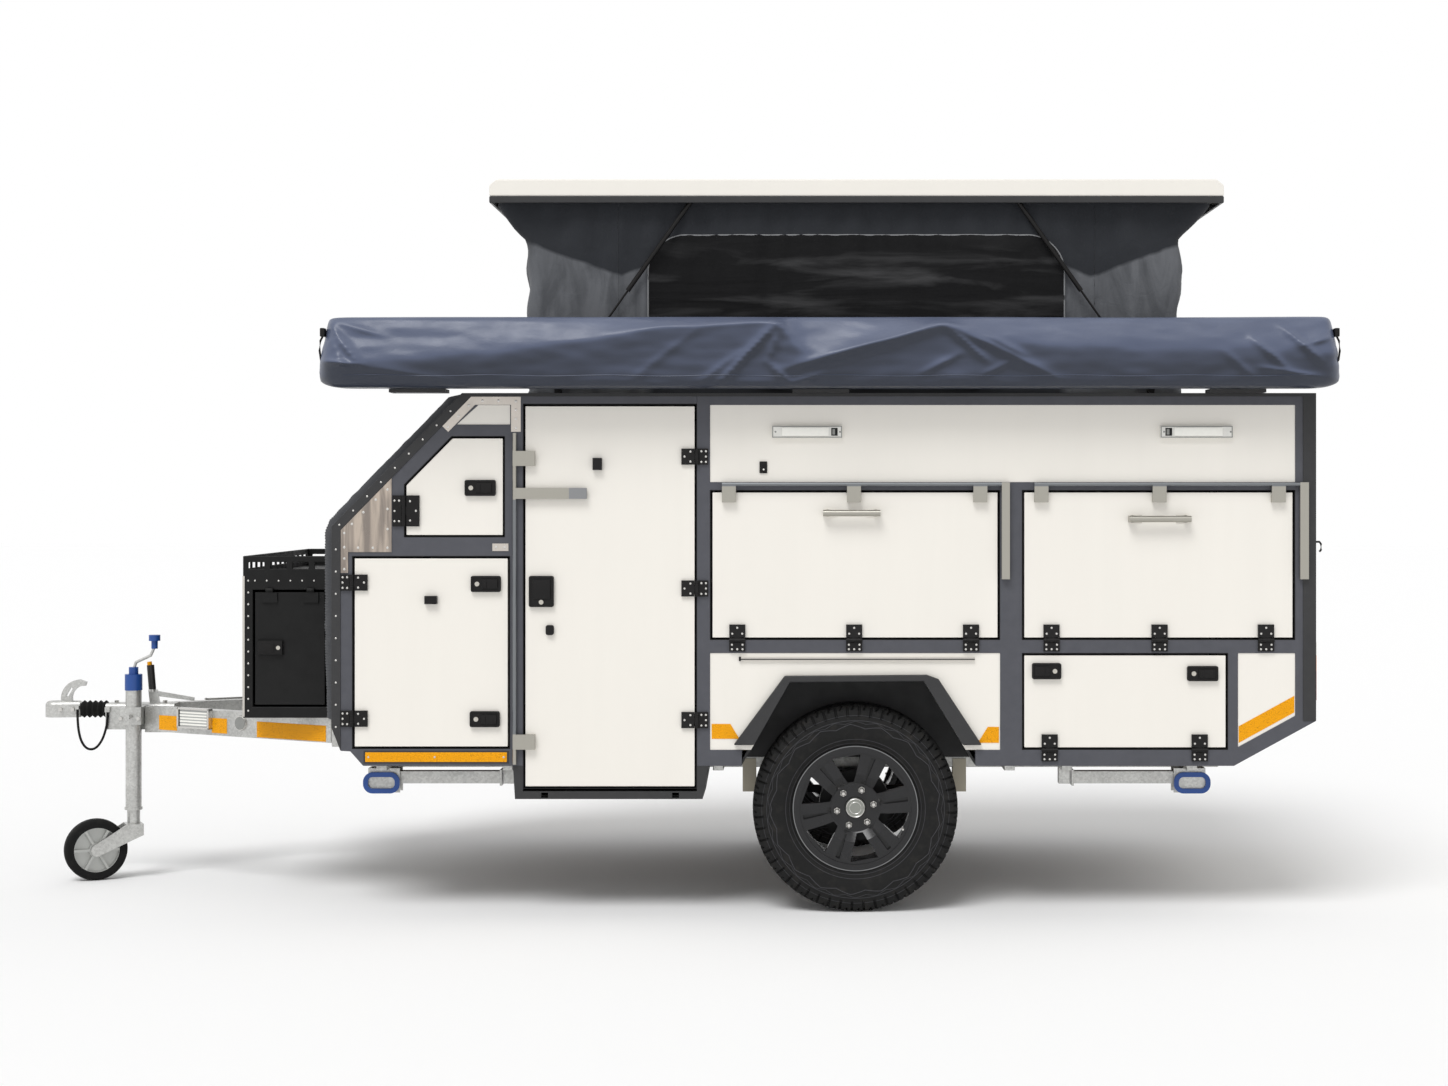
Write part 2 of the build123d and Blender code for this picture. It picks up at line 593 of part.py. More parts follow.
# Far side: the same frame with plain panels in every bay
far_bays = dict(fixed)
far_bays["front"] = openings["front_door"]
far_bays["front_upper"] = openings["front_hatch"]
far_bays["middle"] = box_outline((post_a[1], post_b[0]), (rail_high, upper_high[1]))
far_bays["side"] = openings["galley_hatch"]
far_bays["side_rear"] = openings["rear_hatch"]
far_bays["low_rear"] = openings["rear_locker"]

with BuildPart() as far_frame:
    plate(silhouette, side(half_width), wall)
    for outline in far_bays.values():
        plate(outline, side(half_width), wall, mode=Mode.SUBTRACT)
    plate(below_rail, side(half_width), wall, mode=Mode.SUBTRACT)
save(far_frame, "far_frame")

with BuildPart() as far_panels:
    for outline in far_bays.values():
        plate(outline, side(half_width - panel_inset), wall - panel_inset)
    plate(arch, side(half_width), wall, mode=Mode.SUBTRACT)
save(far_panels, "far_panels")

# Front wall with its slope, rear wall with the cut-up tail, and the roof deck
slope_mitre = wall * tan(atan2(roof_high - slope_low, slope_x - front_x) / 2)
deck_opening_x = (canvas_x[0] + 40, canvas_x[1] - 40)
deck_opening_y = canvas_half_width - 40

with BuildPart() as front_wall:
    plate(chin_line + [(chin_end, rail_low + floor_thick), (front_x + chin[2][0] + 14, chin[2][1] + 32),
                       (front_x + wall, chin[2][1] + 44), (front_x + wall, slope_low - slope_mitre),
                       (slope_x + slope_mitre, roof_low), (slope_x, roof_high), (front_x, slope_low)],
          side(inside), 2 * inside)
save(front_wall, "front_wall")

with BuildPart() as rear_wall:
    plate([(tail_x, rail_low), (rear_x, tail_high), (rear_x, roof_high), (rear_x - wall, roof_high),
           (rear_x - wall, tail_high + 24), (tail_x, rail_low + 46)], side(inside), 2 * inside)
save(rear_wall, "rear_wall")

with BuildPart() as roof_deck:
    plate([(slope_x, roof_high), (slope_x + slope_mitre, roof_low), (rear_x - wall, roof_low),
           (rear_x - wall, roof_high)], side(inside), 2 * inside)
    bar(deck_opening_x, (-deck_opening_y, deck_opening_y), (0, lid_high), mode=Mode.SUBTRACT)
save(roof_deck, "roof_deck")

# Doors and hatches: leaves that fill their openings with a running gap
face = half_width - panel_inset

hinge_y = half_width + 8.0   # hinge axes stand this far out
knuckle_radius = 8.0
knuckle_half = 14.0          # door's knuckle, between the frame's two
knuckle_gap = 0.5
hinge_half = 30.0
tall_hinge_half = 58.0
strap_long = 48.0
leaf_long = 33.0

for name, outline in openings.items():
    with BuildPart() as leaf:
        with BuildSketch(side(-inside)) as leaf_outline:
            with BuildLine():
                Polyline(*outline, close=True)
            make_face()
            offset(amount=-door_gap, kind=Kind.INTERSECTION, mode=Mode.REPLACE)
        extrude(leaf_outline.sketch, amount=face - inside)
    save(leaf, name)

# hinges: door, axis upright or level, axis x or height, places along it, door's side of it, half their length
hinges = [
    ("entrance_door", "upright", post_b[0], (726.0, 1218.0, 1711.0), -1, hinge_half),
    ("front_door", "upright", front_door_x[0], (731.0, 1240.0), 1, hinge_half),
    ("front_hatch", "upright", front_hatch_x[0], (1508.0,), 1, tall_hinge_half),
    ("galley_hatch", "level", middle_rail[1], (2838.0, 3275.0, 3712.0), 1, hinge_half),
    ("rear_hatch", "level", middle_rail[1], (post_c[1] + 110, 4417.0, rear_post - 110), 1, hinge_half),
    ("rear_locker", "level", rail_high, (post_c[1] + 103, post_d[0] - 107), 1, hinge_half),
]


def hinge_plate(kind, axis_at, along, half, reach, seat):
    """Flat hinge plate on a seat face, from the axis sideways or upwards by reach."""
    across_range = sorted((axis_at, axis_at + reach))
    along_range = (along - half, along + half)
    if kind == "upright":
        bar(across_range, (-hinge_y, -seat), along_range)
    else:
        bar(along_range, (-hinge_y, -seat), across_range)


def knuckle(kind, axis_at, start, end):
    """Round hinge barrel along the axis."""
    if kind == "upright":
        rod((axis_at, -hinge_y, start), (axis_at, -hinge_y, end), knuckle_radius)
    else:
        rod((start, -hinge_y, axis_at), (end, -hinge_y, axis_at), knuckle_radius)


def straps(door):
    """The door's half of each of its hinges."""
    for name, kind, axis_at, places, way, half in hinges:
        if name == door:
            for along in places:
                hinge_plate(kind, axis_at + way * (door_gap + 1), along, half, way * strap_long, face)
                hinge_plate(kind, axis_at, along, knuckle_half, way * (door_gap + 2), half_width)
                knuckle(kind, axis_at, along - knuckle_half, along + knuckle_half)


# Frame halves of the hinges: a plate and two knuckles each
with BuildPart() as hinge_leaves:
    for name, kind, axis_at, places, way, half in hinges:
        for along in places:
            hinge_plate(kind, axis_at - way * (knuckle_radius + 1), along, half, -way * leaf_long, half_width)
            for end in (-1, 1):
                span = sorted((along + end * (knuckle_half + knuckle_gap), along + end * half))
                middle = sum(span) / 2
                hinge_plate(kind, axis_at, middle, (span[1] - span[0]) / 2, -way * (knuckle_radius + 2), half_width)
                knuckle(kind, axis_at, span[0], span[1])
save(hinge_leaves, "hinge_leaves")

# Fittings that ride on each door: hinge straps, handles, latches and lock bars
bar_y = (half_width + 7, half_width + 21)   # lock bars clear the frame
bar_radius = 7.0
# paddle latches: door, x range, height range
latches = [
    ("front_door", (1842.0, 1954.0), (1205.0, 1265.0)),
    ("front_door", (1838.0, 1950.0), (700.0, 759.0)),
    ("front_hatch", (1819.0, 1935.0), (1564.0, 1624.0)),
    ("rear_locker", (3940.0, 4049.0), (879.0, 939.0)),
    ("rear_locker", (4520.0, 4636.0), (872.0, 928.0)),
    ("entrance_door", (2059.0, 2152.0), (1149.0, 1265.0)),
    ("entrance_door", (2122.0, 2152.0), (1044.0, 1081.0)),
]
latch_proud = 14.0
# lock bars over the big hatches: hatch, bar x range, hook places, lever x range, grab handle x and height
lock_bars = [
    ("galley_hatch", (2781.0, 3840.0), (2807.0, 3274.0, 3746.0), (3826.0, 3856.0), (3159.0, 3372.0), 1500.0),
    ("rear_hatch", (3948.0, 4958.0), (3974.0, 4415.0, 4860.0), (4940.0, 4972.0), (4300.0, 4531.0), 1478.0),
]
lock_bar_high = 1608.0
lever_low = 1253.0
hook_half = 26.0
hook_high = (1540.0, 1566.0)   # foot of the hooks on the hatch
grab_proud = 34.0
# lock tube beside the entrance door, its clamps' heights, and its lever's end and heights
tube_x = post_a[0] + 18.0
tube_high = (561.0, 1799.0)
tube_clamps = [(617.0, 673.0), (1676.0, 1732.0)]
clamp_end = post_a[1] + 46.0
tube_lever = (2276.0, (1553.0, 1594.0))
# padlock eye on the entrance door and pull tab on the front door: x range, height range
padlock_eye = ((2298.0, 2332.0), (1661.0, 1706.0))
pull_tab = ((1670.0, 1716.0), (1160.0, 1190.0))
padlock_proud = 22.0


def paddle(x, h):
    """Paddle latch: a rounded plate on the door's face."""
    with BuildSketch(side(-face)) as latch:
        with Locations(((x[0] + x[1]) / 2, (h[0] + h[1]) / 2)):
            RectangleRounded(x[1] - x[0], h[1] - h[0], 8)
    extrude(latch.sketch, amount=latch_proud)


def round_bar_y():
    """Middle of the lock bars, out from the centre line."""
    return -(bar_y[0] + bar_y[1]) / 2


for door in openings:
    with BuildPart() as fittings:
        straps(door)
        for name, x, h in latches:
            if name == door:
                paddle(x, h)
        for name, span, hooks, lever, grab, grab_high in lock_bars:
            if name == door:
                rod((span[0], round_bar_y(), lock_bar_high), (span[1], round_bar_y(), lock_bar_high), bar_radius)
                for hook in hooks:
                    bar((hook - hook_half, hook + hook_half), (-bar_y[1], -bar_y[0]), (hook_high[0], lock_bar_high))
                    bar((hook - hook_half, hook + hook_half), (-bar_y[1], -face), hook_high)
                bar(lever, (-bar_y[1], -bar_y[0]), (lever_low, lock_bar_high + bar_radius))
                for end in (grab[0], grab[1] - 24):
                    bar((end, end + 24), (-face - grab_proud, -face), (grab_high - 12, grab_high + 12))
                rod((grab[0], -face - grab_proud, grab_high), (grab[1], -face - grab_proud, grab_high), 12)
        if door == "entrance_door":
            rod((tube_x, round_bar_y(), tube_high[0]), (tube_x, round_bar_y(), tube_high[1]), bar_radius)
            for clamp in tube_clamps:
                bar((tube_x - 6, clamp_end), (-bar_y[1], -bar_y[0]), clamp)
                bar((clamp_end - 26, clamp_end), (-bar_y[1], -face), clamp)
            bar((tube_x - 3, tube_lever[0]), (-bar_y[1], -bar_y[0]), tube_lever[1])
            bar(padlock_eye[0], (-face - padlock_proud, -face), padlock_eye[1])
        if door == "front_door":
            bar(pull_tab[0], (-face - padlock_proud, -face), pull_tab[1])
    save(fittings, f"{door}_fittings")

# Nose box on the drawbar: a hollow locker with a side door and a slotted rack on top
nose_door_x = (944.0, 1232.0)
nose_door_high = (nose_low + 43.0, nose_low + 498.0)
nose_latch_high = (nose_low + 245.0, nose_low + 303.0)
rack_high = nose_high + 74.0
rack_skin = 6.0
slot_high = 26.0
slot_long = 62.0
slot_pitch = 86.0

with BuildPart() as nose_box:
    bar(nose_x, (-nose_half_width, nose_half_width), (nose_low, nose_high))
    bar((nose_x[0] + nose_skin, nose_x[1] - nose_skin), (-nose_half_width + nose_skin, nose_half_width - nose_skin),
        (nose_low + nose_skin, nose_high - nose_skin), mode=Mode.SUBTRACT)
    bar(nose_door_x, (-nose_half_width, 0), nose_door_high, mode=Mode.SUBTRACT)
    bar(nose_x, (-nose_half_width, nose_half_width), (nose_high, rack_high))
    bar((nose_x[0] + rack_skin, nose_x[1] - rack_skin), (-nose_half_width + rack_skin, nose_half_width - rack_skin),
        (nose_high, rack_high), mode=Mode.SUBTRACT)
    slot_middle = (nose_high + rack_high) / 2
    with BuildSketch(side(half_width)) as side_slots:
        with Locations(((nose_x[0] + nose_x[1]) / 2, slot_middle)):
            with GridLocations(slot_pitch, slot_high, int((nose_x[1] - nose_x[0]) / slot_pitch), 1):
                Rectangle(slot_long, slot_high)
    extrude(side_slots.sketch, amount=2 * half_width, mode=Mode.SUBTRACT)
    with BuildSketch(across(nose_x[0])) as front_slots:
        with Locations((0, slot_middle)):
            with GridLocations(slot_pitch, slot_high, int(2 * nose_half_width / slot_pitch), 1):
                Rectangle(slot_long, slot_high)
    extrude(front_slots.sketch, amount=rack_skin, mode=Mode.SUBTRACT)
save(nose_box, "nose_box")

nose_hinge_y = nose_half_width + 8.0
nose_hinges = (1010.0, 1170.0)

with BuildPart() as nose_door:
    bar((nose_door_x[0] + door_gap, nose_door_x[1] - door_gap), (-nose_half_width, -nose_half_width + nose_skin),
        (nose_door_high[0] + door_gap, nose_door_high[1] - door_gap))
    bar((nose_door_x[0] + 20, nose_door_x[0] + 118), (-nose_half_width - 12, -nose_half_width), nose_latch_high)
    for along in nose_hinges:
        bar((along - hinge_half, along + hinge_half), (-nose_hinge_y, -nose_half_width),
            (nose_door_high[1] - door_gap - 40, nose_door_high[1] - door_gap - 1))
        bar((along - knuckle_half, along + knuckle_half), (-nose_hinge_y, -nose_half_width),
            (nose_door_high[1] - door_gap - 2, nose_door_high[1]))
        rod((along - knuckle_half, -nose_hinge_y, nose_door_high[1]),
            (along + knuckle_half, -nose_hinge_y, nose_door_high[1]), knuckle_radius)
save(nose_door, "nose_door")

# Dark corner extrusions: front corner, slope edge, roof edge and rear corner on both sides
trim_thick = 4.0
trim_band = 34.0
roof_band = 13.0
slope_lean = (roof_high - slope_low) / (slope_x - front_x)
slope_down = trim_band * hypot(1, slope_lean)


def under_slope(x):
    """Height of the slope trim's lower edge at x."""
    return slope_low + (x - front_x) * slope_lean - slope_down


with BuildPart() as corner_trims:
    for start in (-half_width, half_width + trim_thick):
        plate([(front_x, slope_low), (slope_x, roof_high), (slope_x + slope_down / slope_lean, roof_high),
               (front_x, under_slope(front_x))], side(start), trim_thick)
        plate(chin_line[:2] + [(chin_line[1][0], under_slope(chin_line[1][0])), (front_x, under_slope(front_x))],
              side(start), trim_thick)
        plate(box_outline((slope_x + 10, rear_x), (roof_high - roof_band, roof_high)), side(start), trim_thick)
        plate(box_outline((rear_x - trim_band - 15, rear_x), (tail_high, roof_high)), side(start), trim_thick)
save(corner_trims, "corner_trims")

# Wheel-arch flares, proud of both sides
flare_proud = 22.0
flare_outer = [(2824.0, rail_high + 20), (3015.0, 892.0), (3546.0, 896.0), (3590.0, 880.0),
               (3752.0, rail_high + 20)]

with BuildPart() as arch_flares:
    for start in (-half_width, half_width + flare_proud):
        plate(flare_outer, side(start), flare_proud)
        plate(arch, side(start), flare_proud, mode=Mode.SUBTRACT)
save(arch_flares, "arch_flares")

# Riveted plates on the front gables: corner gusset, angle bracket under the roof edge, and a joint plate
gusset_thick = 3.0
plate_gap = 1.0              # between these plates and the trims
gusset_x = (1355.0, 1382.0, 1545.0)
gusset_high = (1276.0, front_rail[0] + 15.0)
gusset = [(gusset_x[0], gusset_high[0]), (gusset_x[1], gusset_high[0]), (gusset_x[1], gusset_high[1]),
          (gusset_x[2], gusset_high[1]), (gusset_x[2], under_slope(gusset_x[2]) - plate_gap),
          (gusset_x[0], under_slope(gusset_x[0]) - plate_gap)]
bracket_low = 1804.0
bracket_top = roof_high - roof_band - plate_gap
bracket_band = 30.0
bracket_post = (1992.0, 2028.0)
bracket_start = 1735.0       # lower end of the angle bracket's slanting strip
bracket_turn = front_x + (bracket_top + plate_gap + slope_down - slope_low) / slope_lean
angle_bracket = [(bracket_start, under_slope(bracket_start) - plate_gap), (bracket_turn, bracket_top),
                 (bracket_post[1], bracket_top), (bracket_post[1], bracket_low), (bracket_post[0], bracket_low),
                 (bracket_post[0], bracket_top - bracket_band), (bracket_turn + 14, bracket_top - bracket_band),
                 (bracket_start + 22, under_slope(bracket_start) - plate_gap - 21)]
joint_plate = box_outline((1922.0, 1982.0), (1358.0, 1386.0))

with BuildPart() as gusset_plates:
    for start in (-half_width, half_width + gusset_thick):
        for outline in (gusset, angle_bracket, joint_plate):
            plate(outline, side(start), gusset_thick)
save(gusset_plates, "gusset_plates")

# Padded cover over the front wall and slope
cover_half_width = 905.0
cover_low = nose_low + 6.0
cover_thick = (45.0, 37.0)   # in front of the wall, and square to the slope
cover_up = cover_thick[1] * hypot(1, slope_lean)
cover_bend = front_x - cover_thick[0] + 17.0
cover_top = slope_x - 60.0

with BuildPart() as front_cover:
    plate([(front_x, cover_low), (front_x - cover_thick[0] + 9, cover_low + 4),
           (front_x - cover_thick[0], slope_low - 35),
           (cover_bend, slope_low + (cover_bend - front_x) * slope_lean + cover_up),
           (cover_top - 70, slope_low + (cover_top - 70 - front_x) * slope_lean + cover_up),
           (cover_top, roof_high - 8), (slope_x, roof_high), (front_x, slope_low)],
          side(cover_half_width), 2 * cover_half_width)
save(front_cover, "front_cover")

# Rolled awning in its bag along the door side, on brackets from the roof edge
bag_y = half_width + 2.0
bracket_x = (1650.0, 3150.0, 4700.0)

with BuildPart() as awning_bag:
    with BuildSketch(across(awning_x[0])) as bag_outline:
        with BuildLine():
            Polyline((-bag_y, awning_low), (-bag_y - awning_deep + 40, awning_low + 8),
                     (-bag_y - awning_deep, awning_low + 46), (-bag_y - awning_deep + 4, awning_high - 44),
                     (-bag_y - awning_deep + 48, awning_high), (-bag_y, awning_high), close=True)
        make_face()
    extrude(bag_outline.sketch, amount=awning_x[1] - awning_x[0])
save(awning_bag, "awning_bag")

with BuildPart() as awning_brackets:
    for x in bracket_x:
        bar((x - 105, x + 105), (-bag_y - 60, -half_width + wall), (roof_high, awning_low))
save(awning_brackets, "awning_brackets")

# Lamps: side work lights, tail clusters, and a marker on each drawbar tube
lamp_deep = 18.0
work_lights = [(2968.0, 3230.0), (4419.0, 4689.0)]
work_light_high = (1781.0, 1826.0)
tail_lamp_y = 780.0
marker_x = 635.0
marker_long = 150.0
marker_high = (drawbar_low + 28.0, drawbar_high + 2.0)

drawbar_lean = atan2(chassis_rail_y[0] - 20 - housing_half_width - drawbar_wide / 2, headstock_x[0] - drawbar_x)
marker_y = housing_half_width + drawbar_wide / 2 + (marker_x - drawbar_x) * tan(drawbar_lean)
tube_face = Plane(origin=(marker_x, -marker_y - drawbar_wide / 2 / cos(drawbar_lean), -ball_height),
                  x_dir=(cos(drawbar_lean), -sin(drawbar_lean), 0),
                  z_dir=(-sin(drawbar_lean), -cos(drawbar_lean), 0))

with BuildPart() as lamps:
    bar((rear_x, rear_x + 26), (-tail_lamp_y - 60, -tail_lamp_y + 60), (790.0, 1010.0))
    with BuildSketch(tube_face) as marker:
        with Locations((0, (marker_high[0] + marker_high[1]) / 2)):
            Rectangle(marker_long, marker_high[1] - marker_high[0])
    extrude(marker.sketch, amount=lamp_deep)
    mirror(about=Plane.XZ)
    for x in work_lights:
        bar(x, (-face - lamp_deep, -face), work_light_high)
save(lamps, "lamps")

# Pop-top lid: a shallow tray, upside down, with a dark edge
lid_edge = lid_high - lid_white
lid_low = lid_edge - lid_trim_high
lid_ceiling = lid_high - lid_skin
lid_end = (29.0, 23.0)       # chamfer of the ends' top corners, along and down
lug_thick = 6.0
lug_y = (canvas_half_width + 3, canvas_half_width + 3 + lug_thick)
strut_foot_high = roof_high + 20.0
strut_head_high = lid_low + 29.0
# struts: foot x, head x
struts = {"front": (2153.0, 2673.0), "rear": (4405.0, 3885.0)}
lug_half = 14.0

with BuildPart() as lid_shell:
    plate([(lid_x[0], lid_edge), (lid_x[1], lid_edge), (lid_x[1], lid_high - lid_end[1]),
           (lid_x[1] - lid_end[0], lid_high), (lid_x[0] + lid_end[0], lid_high), (lid_x[0], lid_high - lid_end[1])],
          side(lid_half_width), 2 * lid_half_width)
    inner_y = lid_half_width - lid_wall
    bar((lid_x[0] + lid_wall, lid_x[1] - lid_wall), (-inner_y, inner_y), (lid_edge, lid_ceiling), mode=Mode.SUBTRACT)
    for foot, head in struts.values():
        for hand in (-1, 1):
            bar((head - lug_half, head + lug_half), sorted((hand * lug_y[0], hand * lug_y[1])),
                (strut_head_high - lug_half, lid_ceiling))
save(lid_shell, "lid_shell")

with BuildPart() as lid_trim:
    bar(lid_x, (-lid_half_width, lid_half_width), (lid_low, lid_edge))
    bar((lid_x[0] + lid_wall, lid_x[1] - lid_wall), (-inner_y, inner_y), (lid_low, lid_edge), mode=Mode.SUBTRACT)
save(lid_trim, "lid_trim")

# Canvas between the deck and the lid: four walls
with BuildPart() as canvas:
    bar(canvas_x, (-canvas_half_width, canvas_half_width), (roof_high, lid_ceiling))
    bar((canvas_x[0] + canvas_skin, canvas_x[1] - canvas_skin),
        (-canvas_half_width + canvas_skin, canvas_half_width - canvas_skin), (roof_high, lid_ceiling),
        mode=Mode.SUBTRACT)
save(canvas, "canvas")

# Feet of the gas struts on the deck, with their pins
strut_pin_radius = 5.0
barrel_radius = 9.0
piston_rod_radius = 4.0
barrel_share = 0.49          # barrel's share of the strut's length when the roof is up
barrel_end = 20.0            # solid end of the barrel at its eye
rod_inside = 30.0
eye_half = 8.0
eye_radius = 13.0

with BuildPart() as strut_feet:
    for foot, head in struts.values():
        for hand in (-1, 1):
            bar((foot - lug_half, foot + lug_half), sorted((hand * lug_y[0], hand * lug_y[1])),
                (roof_high, strut_foot_high + lug_half))
            rod((foot, hand * lug_y[1], strut_foot_high), (foot, hand * (strut_y + eye_half), strut_foot_high),
                strut_pin_radius)
save(strut_feet, "strut_feet")

# Gas struts: a rod on each foot and a barrel up to the lid, one pair at the front and one at the rear
for place, (foot, head) in struts.items():
    rise = strut_head_high - strut_foot_high
    long = hypot(head - foot, rise)
    unit = Vector((head - foot) / long, 0, rise / long)
    barrel_start = long * (1 - barrel_share)
    with BuildPart() as rods:
        for hand in (-1, 1):
            low = Vector(foot, hand * strut_y, strut_foot_high)
            rod(low + unit * eye_half, low + unit * (barrel_start + rod_inside), piston_rod_radius)
            ends = [Vector(foot, hand * strut_y + end * eye_half, strut_foot_high) for end in (-1, 1)]
            rod(*ends, eye_radius)
            rod(*ends, strut_pin_radius + running_gap, mode=Mode.SUBTRACT)
    save(rods, f"{place}_strut_rods")
    with BuildPart() as barrels:
        for hand in (-1, 1):
            low = Vector(foot, hand * strut_y, strut_foot_high)
            rod(low + unit * barrel_start, low + unit * (long - eye_half), barrel_radius)
            ends = [Vector(head, hand * strut_y + end * eye_half, strut_head_high) for end in (-1, 1)]
            rod(*ends, eye_radius)
            rod(*ends, strut_pin_radius, mode=Mode.SUBTRACT)
            rod(low + unit * barrel_start, low + unit * (long - barrel_end), piston_rod_radius + running_gap,
                mode=Mode.SUBTRACT)
    save(barrels, f"{place}_strut_barrels")
    print(place, "strut: length", round(long, 2), "angle", round(degrees(atan2(rise, abs(head - foot))), 3))

# Corner steadies: a leg with a round pivot end and a foot plate, stowed level under an outrigger
steady_y = 800.0
steady_pivot_high = 496.0
steady_wide = 46.0
steady_reach = 435.0         # from the pivot to the end of the leg's tube
steady_foot = 8.0            # thickness of the foot plate
foot_half = (40.0, 30.0)     # half its width and half its height
steady_pin_radius = 8.0
# steadies: pivot x, and the way the stowed leg points
steadies = {"front": (1500.0, 1), "rear": (4545.0, -1)}

for place, (pivot_x, way) in steadies.items():
    for hand, label in ((-1, "near"), (1, "far")):
        with BuildPart() as steady:
            half = steady_wide / 2
            near, far = hand * steady_y - half, hand * steady_y + half
            bar(sorted((pivot_x, pivot_x + way * steady_reach)), (near, far),
                (steady_pivot_high - half, steady_pivot_high + half))
            rod((pivot_x, near, steady_pivot_high), (pivot_x, far, steady_pivot_high), half)
            foot = pivot_x + way * steady_reach
            bar(sorted((foot, foot + way * steady_foot)),
                (hand * steady_y - foot_half[0], hand * steady_y + foot_half[0]),
                (steady_pivot_high - foot_half[1], steady_pivot_high + foot_half[1]))
            rod((pivot_x, near, steady_pivot_high), (pivot_x, far, steady_pivot_high),
                steady_pin_radius + running_gap, mode=Mode.SUBTRACT)
        save(steady, f"steady_{place}_{label}")

# Their brackets under the outriggers: two cheeks and a pin, a pull loop outside, and a clip at the leg's end
steady_cheek = 8.0
cheek_half = 56.0
cheek_drop = 56.0            # cheeks reach this far below the pin
clip_wide = 40.0
clip_half = 24.0
clip_gap = 7.0
loop_long = 138.0
loop_high = 80.0
loop_thick = 14.0
loop_bar = 18.0
loop_shift = (12.0, 18.0)    # loop's middle, out from the pin and below it

with BuildPart() as steady_drives:
    for pivot_x, way in steadies.values():
        for hand in (-1, 1):
            inner = steady_wide / 2 + seat_gap
            reach = inner + steady_cheek
            bracket_high = (steady_pivot_high - cheek_drop, outrigger_low)
            for flank in (-1, 1):
                cheek = sorted((hand * steady_y + flank * inner, hand * steady_y + flank * reach))
                bar((pivot_x - cheek_half, pivot_x + cheek_half), cheek, bracket_high)
            end = sorted((pivot_x - way * cheek_half, pivot_x - way * (cheek_half + steady_cheek)))
            bar(end, (hand * steady_y - reach, hand * steady_y + reach), bracket_high)
            rod((pivot_x, hand * steady_y - reach, steady_pivot_high),
                (pivot_x, hand * steady_y + reach, steady_pivot_high), steady_pin_radius)
            clip = pivot_x + way * (steady_reach + steady_foot + clip_gap)
            bar(sorted((clip, clip + way * clip_wide)), (hand * steady_y - clip_half, hand * steady_y + clip_half),
                (steady_pivot_high - clip_half, outrigger_low))
            outer = -steady_y - reach if hand < 0 else steady_y + reach + loop_thick
            with BuildSketch(side(outer)) as pull_loop:
                with Locations((pivot_x - way * loop_shift[0], steady_pivot_high - loop_shift[1])):
                    RectangleRounded(loop_long, loop_high, loop_high / 2 - 4)
                    RectangleRounded(loop_long - 2 * loop_bar, loop_high - 2 * loop_bar, loop_bar,
                                     mode=Mode.SUBTRACT)
            extrude(pull_loop.sketch, amount=loop_thick)
save(steady_drives, "steady_drives")


def cord(points, radius):
    """Round cord along straight runs with large arcs between them; points are x, y and height."""
    route = [Vector(*point) - Vector(0, 0, ball_height) for point in points]
    radii = []
    for before, here, after in zip(route, route[1:], route[2:]):
        turn = radians((here - before).get_angle(after - here))
        radii.append(0.45 * min((here - before).length, (after - here).length) / tan(turn / 2))
    with BuildLine() as path:
        FilletPolyline(*route, radius=radii)
    with BuildSketch(Plane(origin=route[0], z_dir=route[1] - route[0])) as section:
        Circle(radius)
    sweep(section.sketch, path=path.line)
    print("cord: length", round(path.wires()[0].length, 1), "radii", [round(value) for value in radii])


# Trailer cable: hangs in a loop from the housing's front to the coupling head
cable_radius = 5.0
cable_route = [(cable_start[0], cable_start[1], cable_start_high), (218, -57, 638), (211, -61, 596), (197, -65, 554),
               (171, -67, 521), (137, -65, 519), (111, -59, 548), (96, -49, 592), (88, -38, 646),
               (cable_end[0], cable_end[1], cable_end_high)]

with BuildPart() as trailer_cable:
    cord(cable_route, cable_radius)
save(trailer_cable, "trailer_cable")
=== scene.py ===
"""Looks of an off-road pop-top caravan, in metres, in the frame of the part itself.

+X runs rearwards from the tow ball, +Y to the far side and +Z up; the door side is -Y.
"""

import json
import math

import bmesh
import bpy
from mathutils import Matrix, Vector, noise
from mathutils.bvhtree import BVHTree


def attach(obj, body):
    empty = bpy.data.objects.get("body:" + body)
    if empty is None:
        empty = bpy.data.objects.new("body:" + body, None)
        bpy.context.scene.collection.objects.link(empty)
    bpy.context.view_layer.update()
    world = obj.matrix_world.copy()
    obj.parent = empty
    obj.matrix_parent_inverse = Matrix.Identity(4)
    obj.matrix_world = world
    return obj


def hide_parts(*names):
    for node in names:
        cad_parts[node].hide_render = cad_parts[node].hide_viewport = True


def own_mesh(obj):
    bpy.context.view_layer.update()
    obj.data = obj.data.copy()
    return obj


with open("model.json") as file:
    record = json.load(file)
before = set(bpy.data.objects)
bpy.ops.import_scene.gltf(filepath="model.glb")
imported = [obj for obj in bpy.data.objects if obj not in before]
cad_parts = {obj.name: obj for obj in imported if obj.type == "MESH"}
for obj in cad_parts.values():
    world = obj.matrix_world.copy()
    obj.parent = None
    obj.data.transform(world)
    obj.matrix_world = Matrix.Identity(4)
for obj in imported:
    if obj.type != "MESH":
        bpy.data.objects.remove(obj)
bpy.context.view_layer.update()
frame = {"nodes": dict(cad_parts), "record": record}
nodes = frame["nodes"]
scene = bpy.context.scene
ground = -0.680              # floor below the tow ball
face_y = -0.947              # outer face of the door side's panels
frame_y = -0.950             # outer face of its frame


def up(height):
    """Frame height of a height above the floor."""
    return ground + height


def linear(code):
    """Linear colour of a hexadecimal screen colour."""
    values = [int(code[i:i + 2], 16) / 255 for i in (1, 3, 5)]
    return [v / 12.92 if v <= 0.04045 else ((v + 0.055) / 1.055) ** 2.4 for v in values]


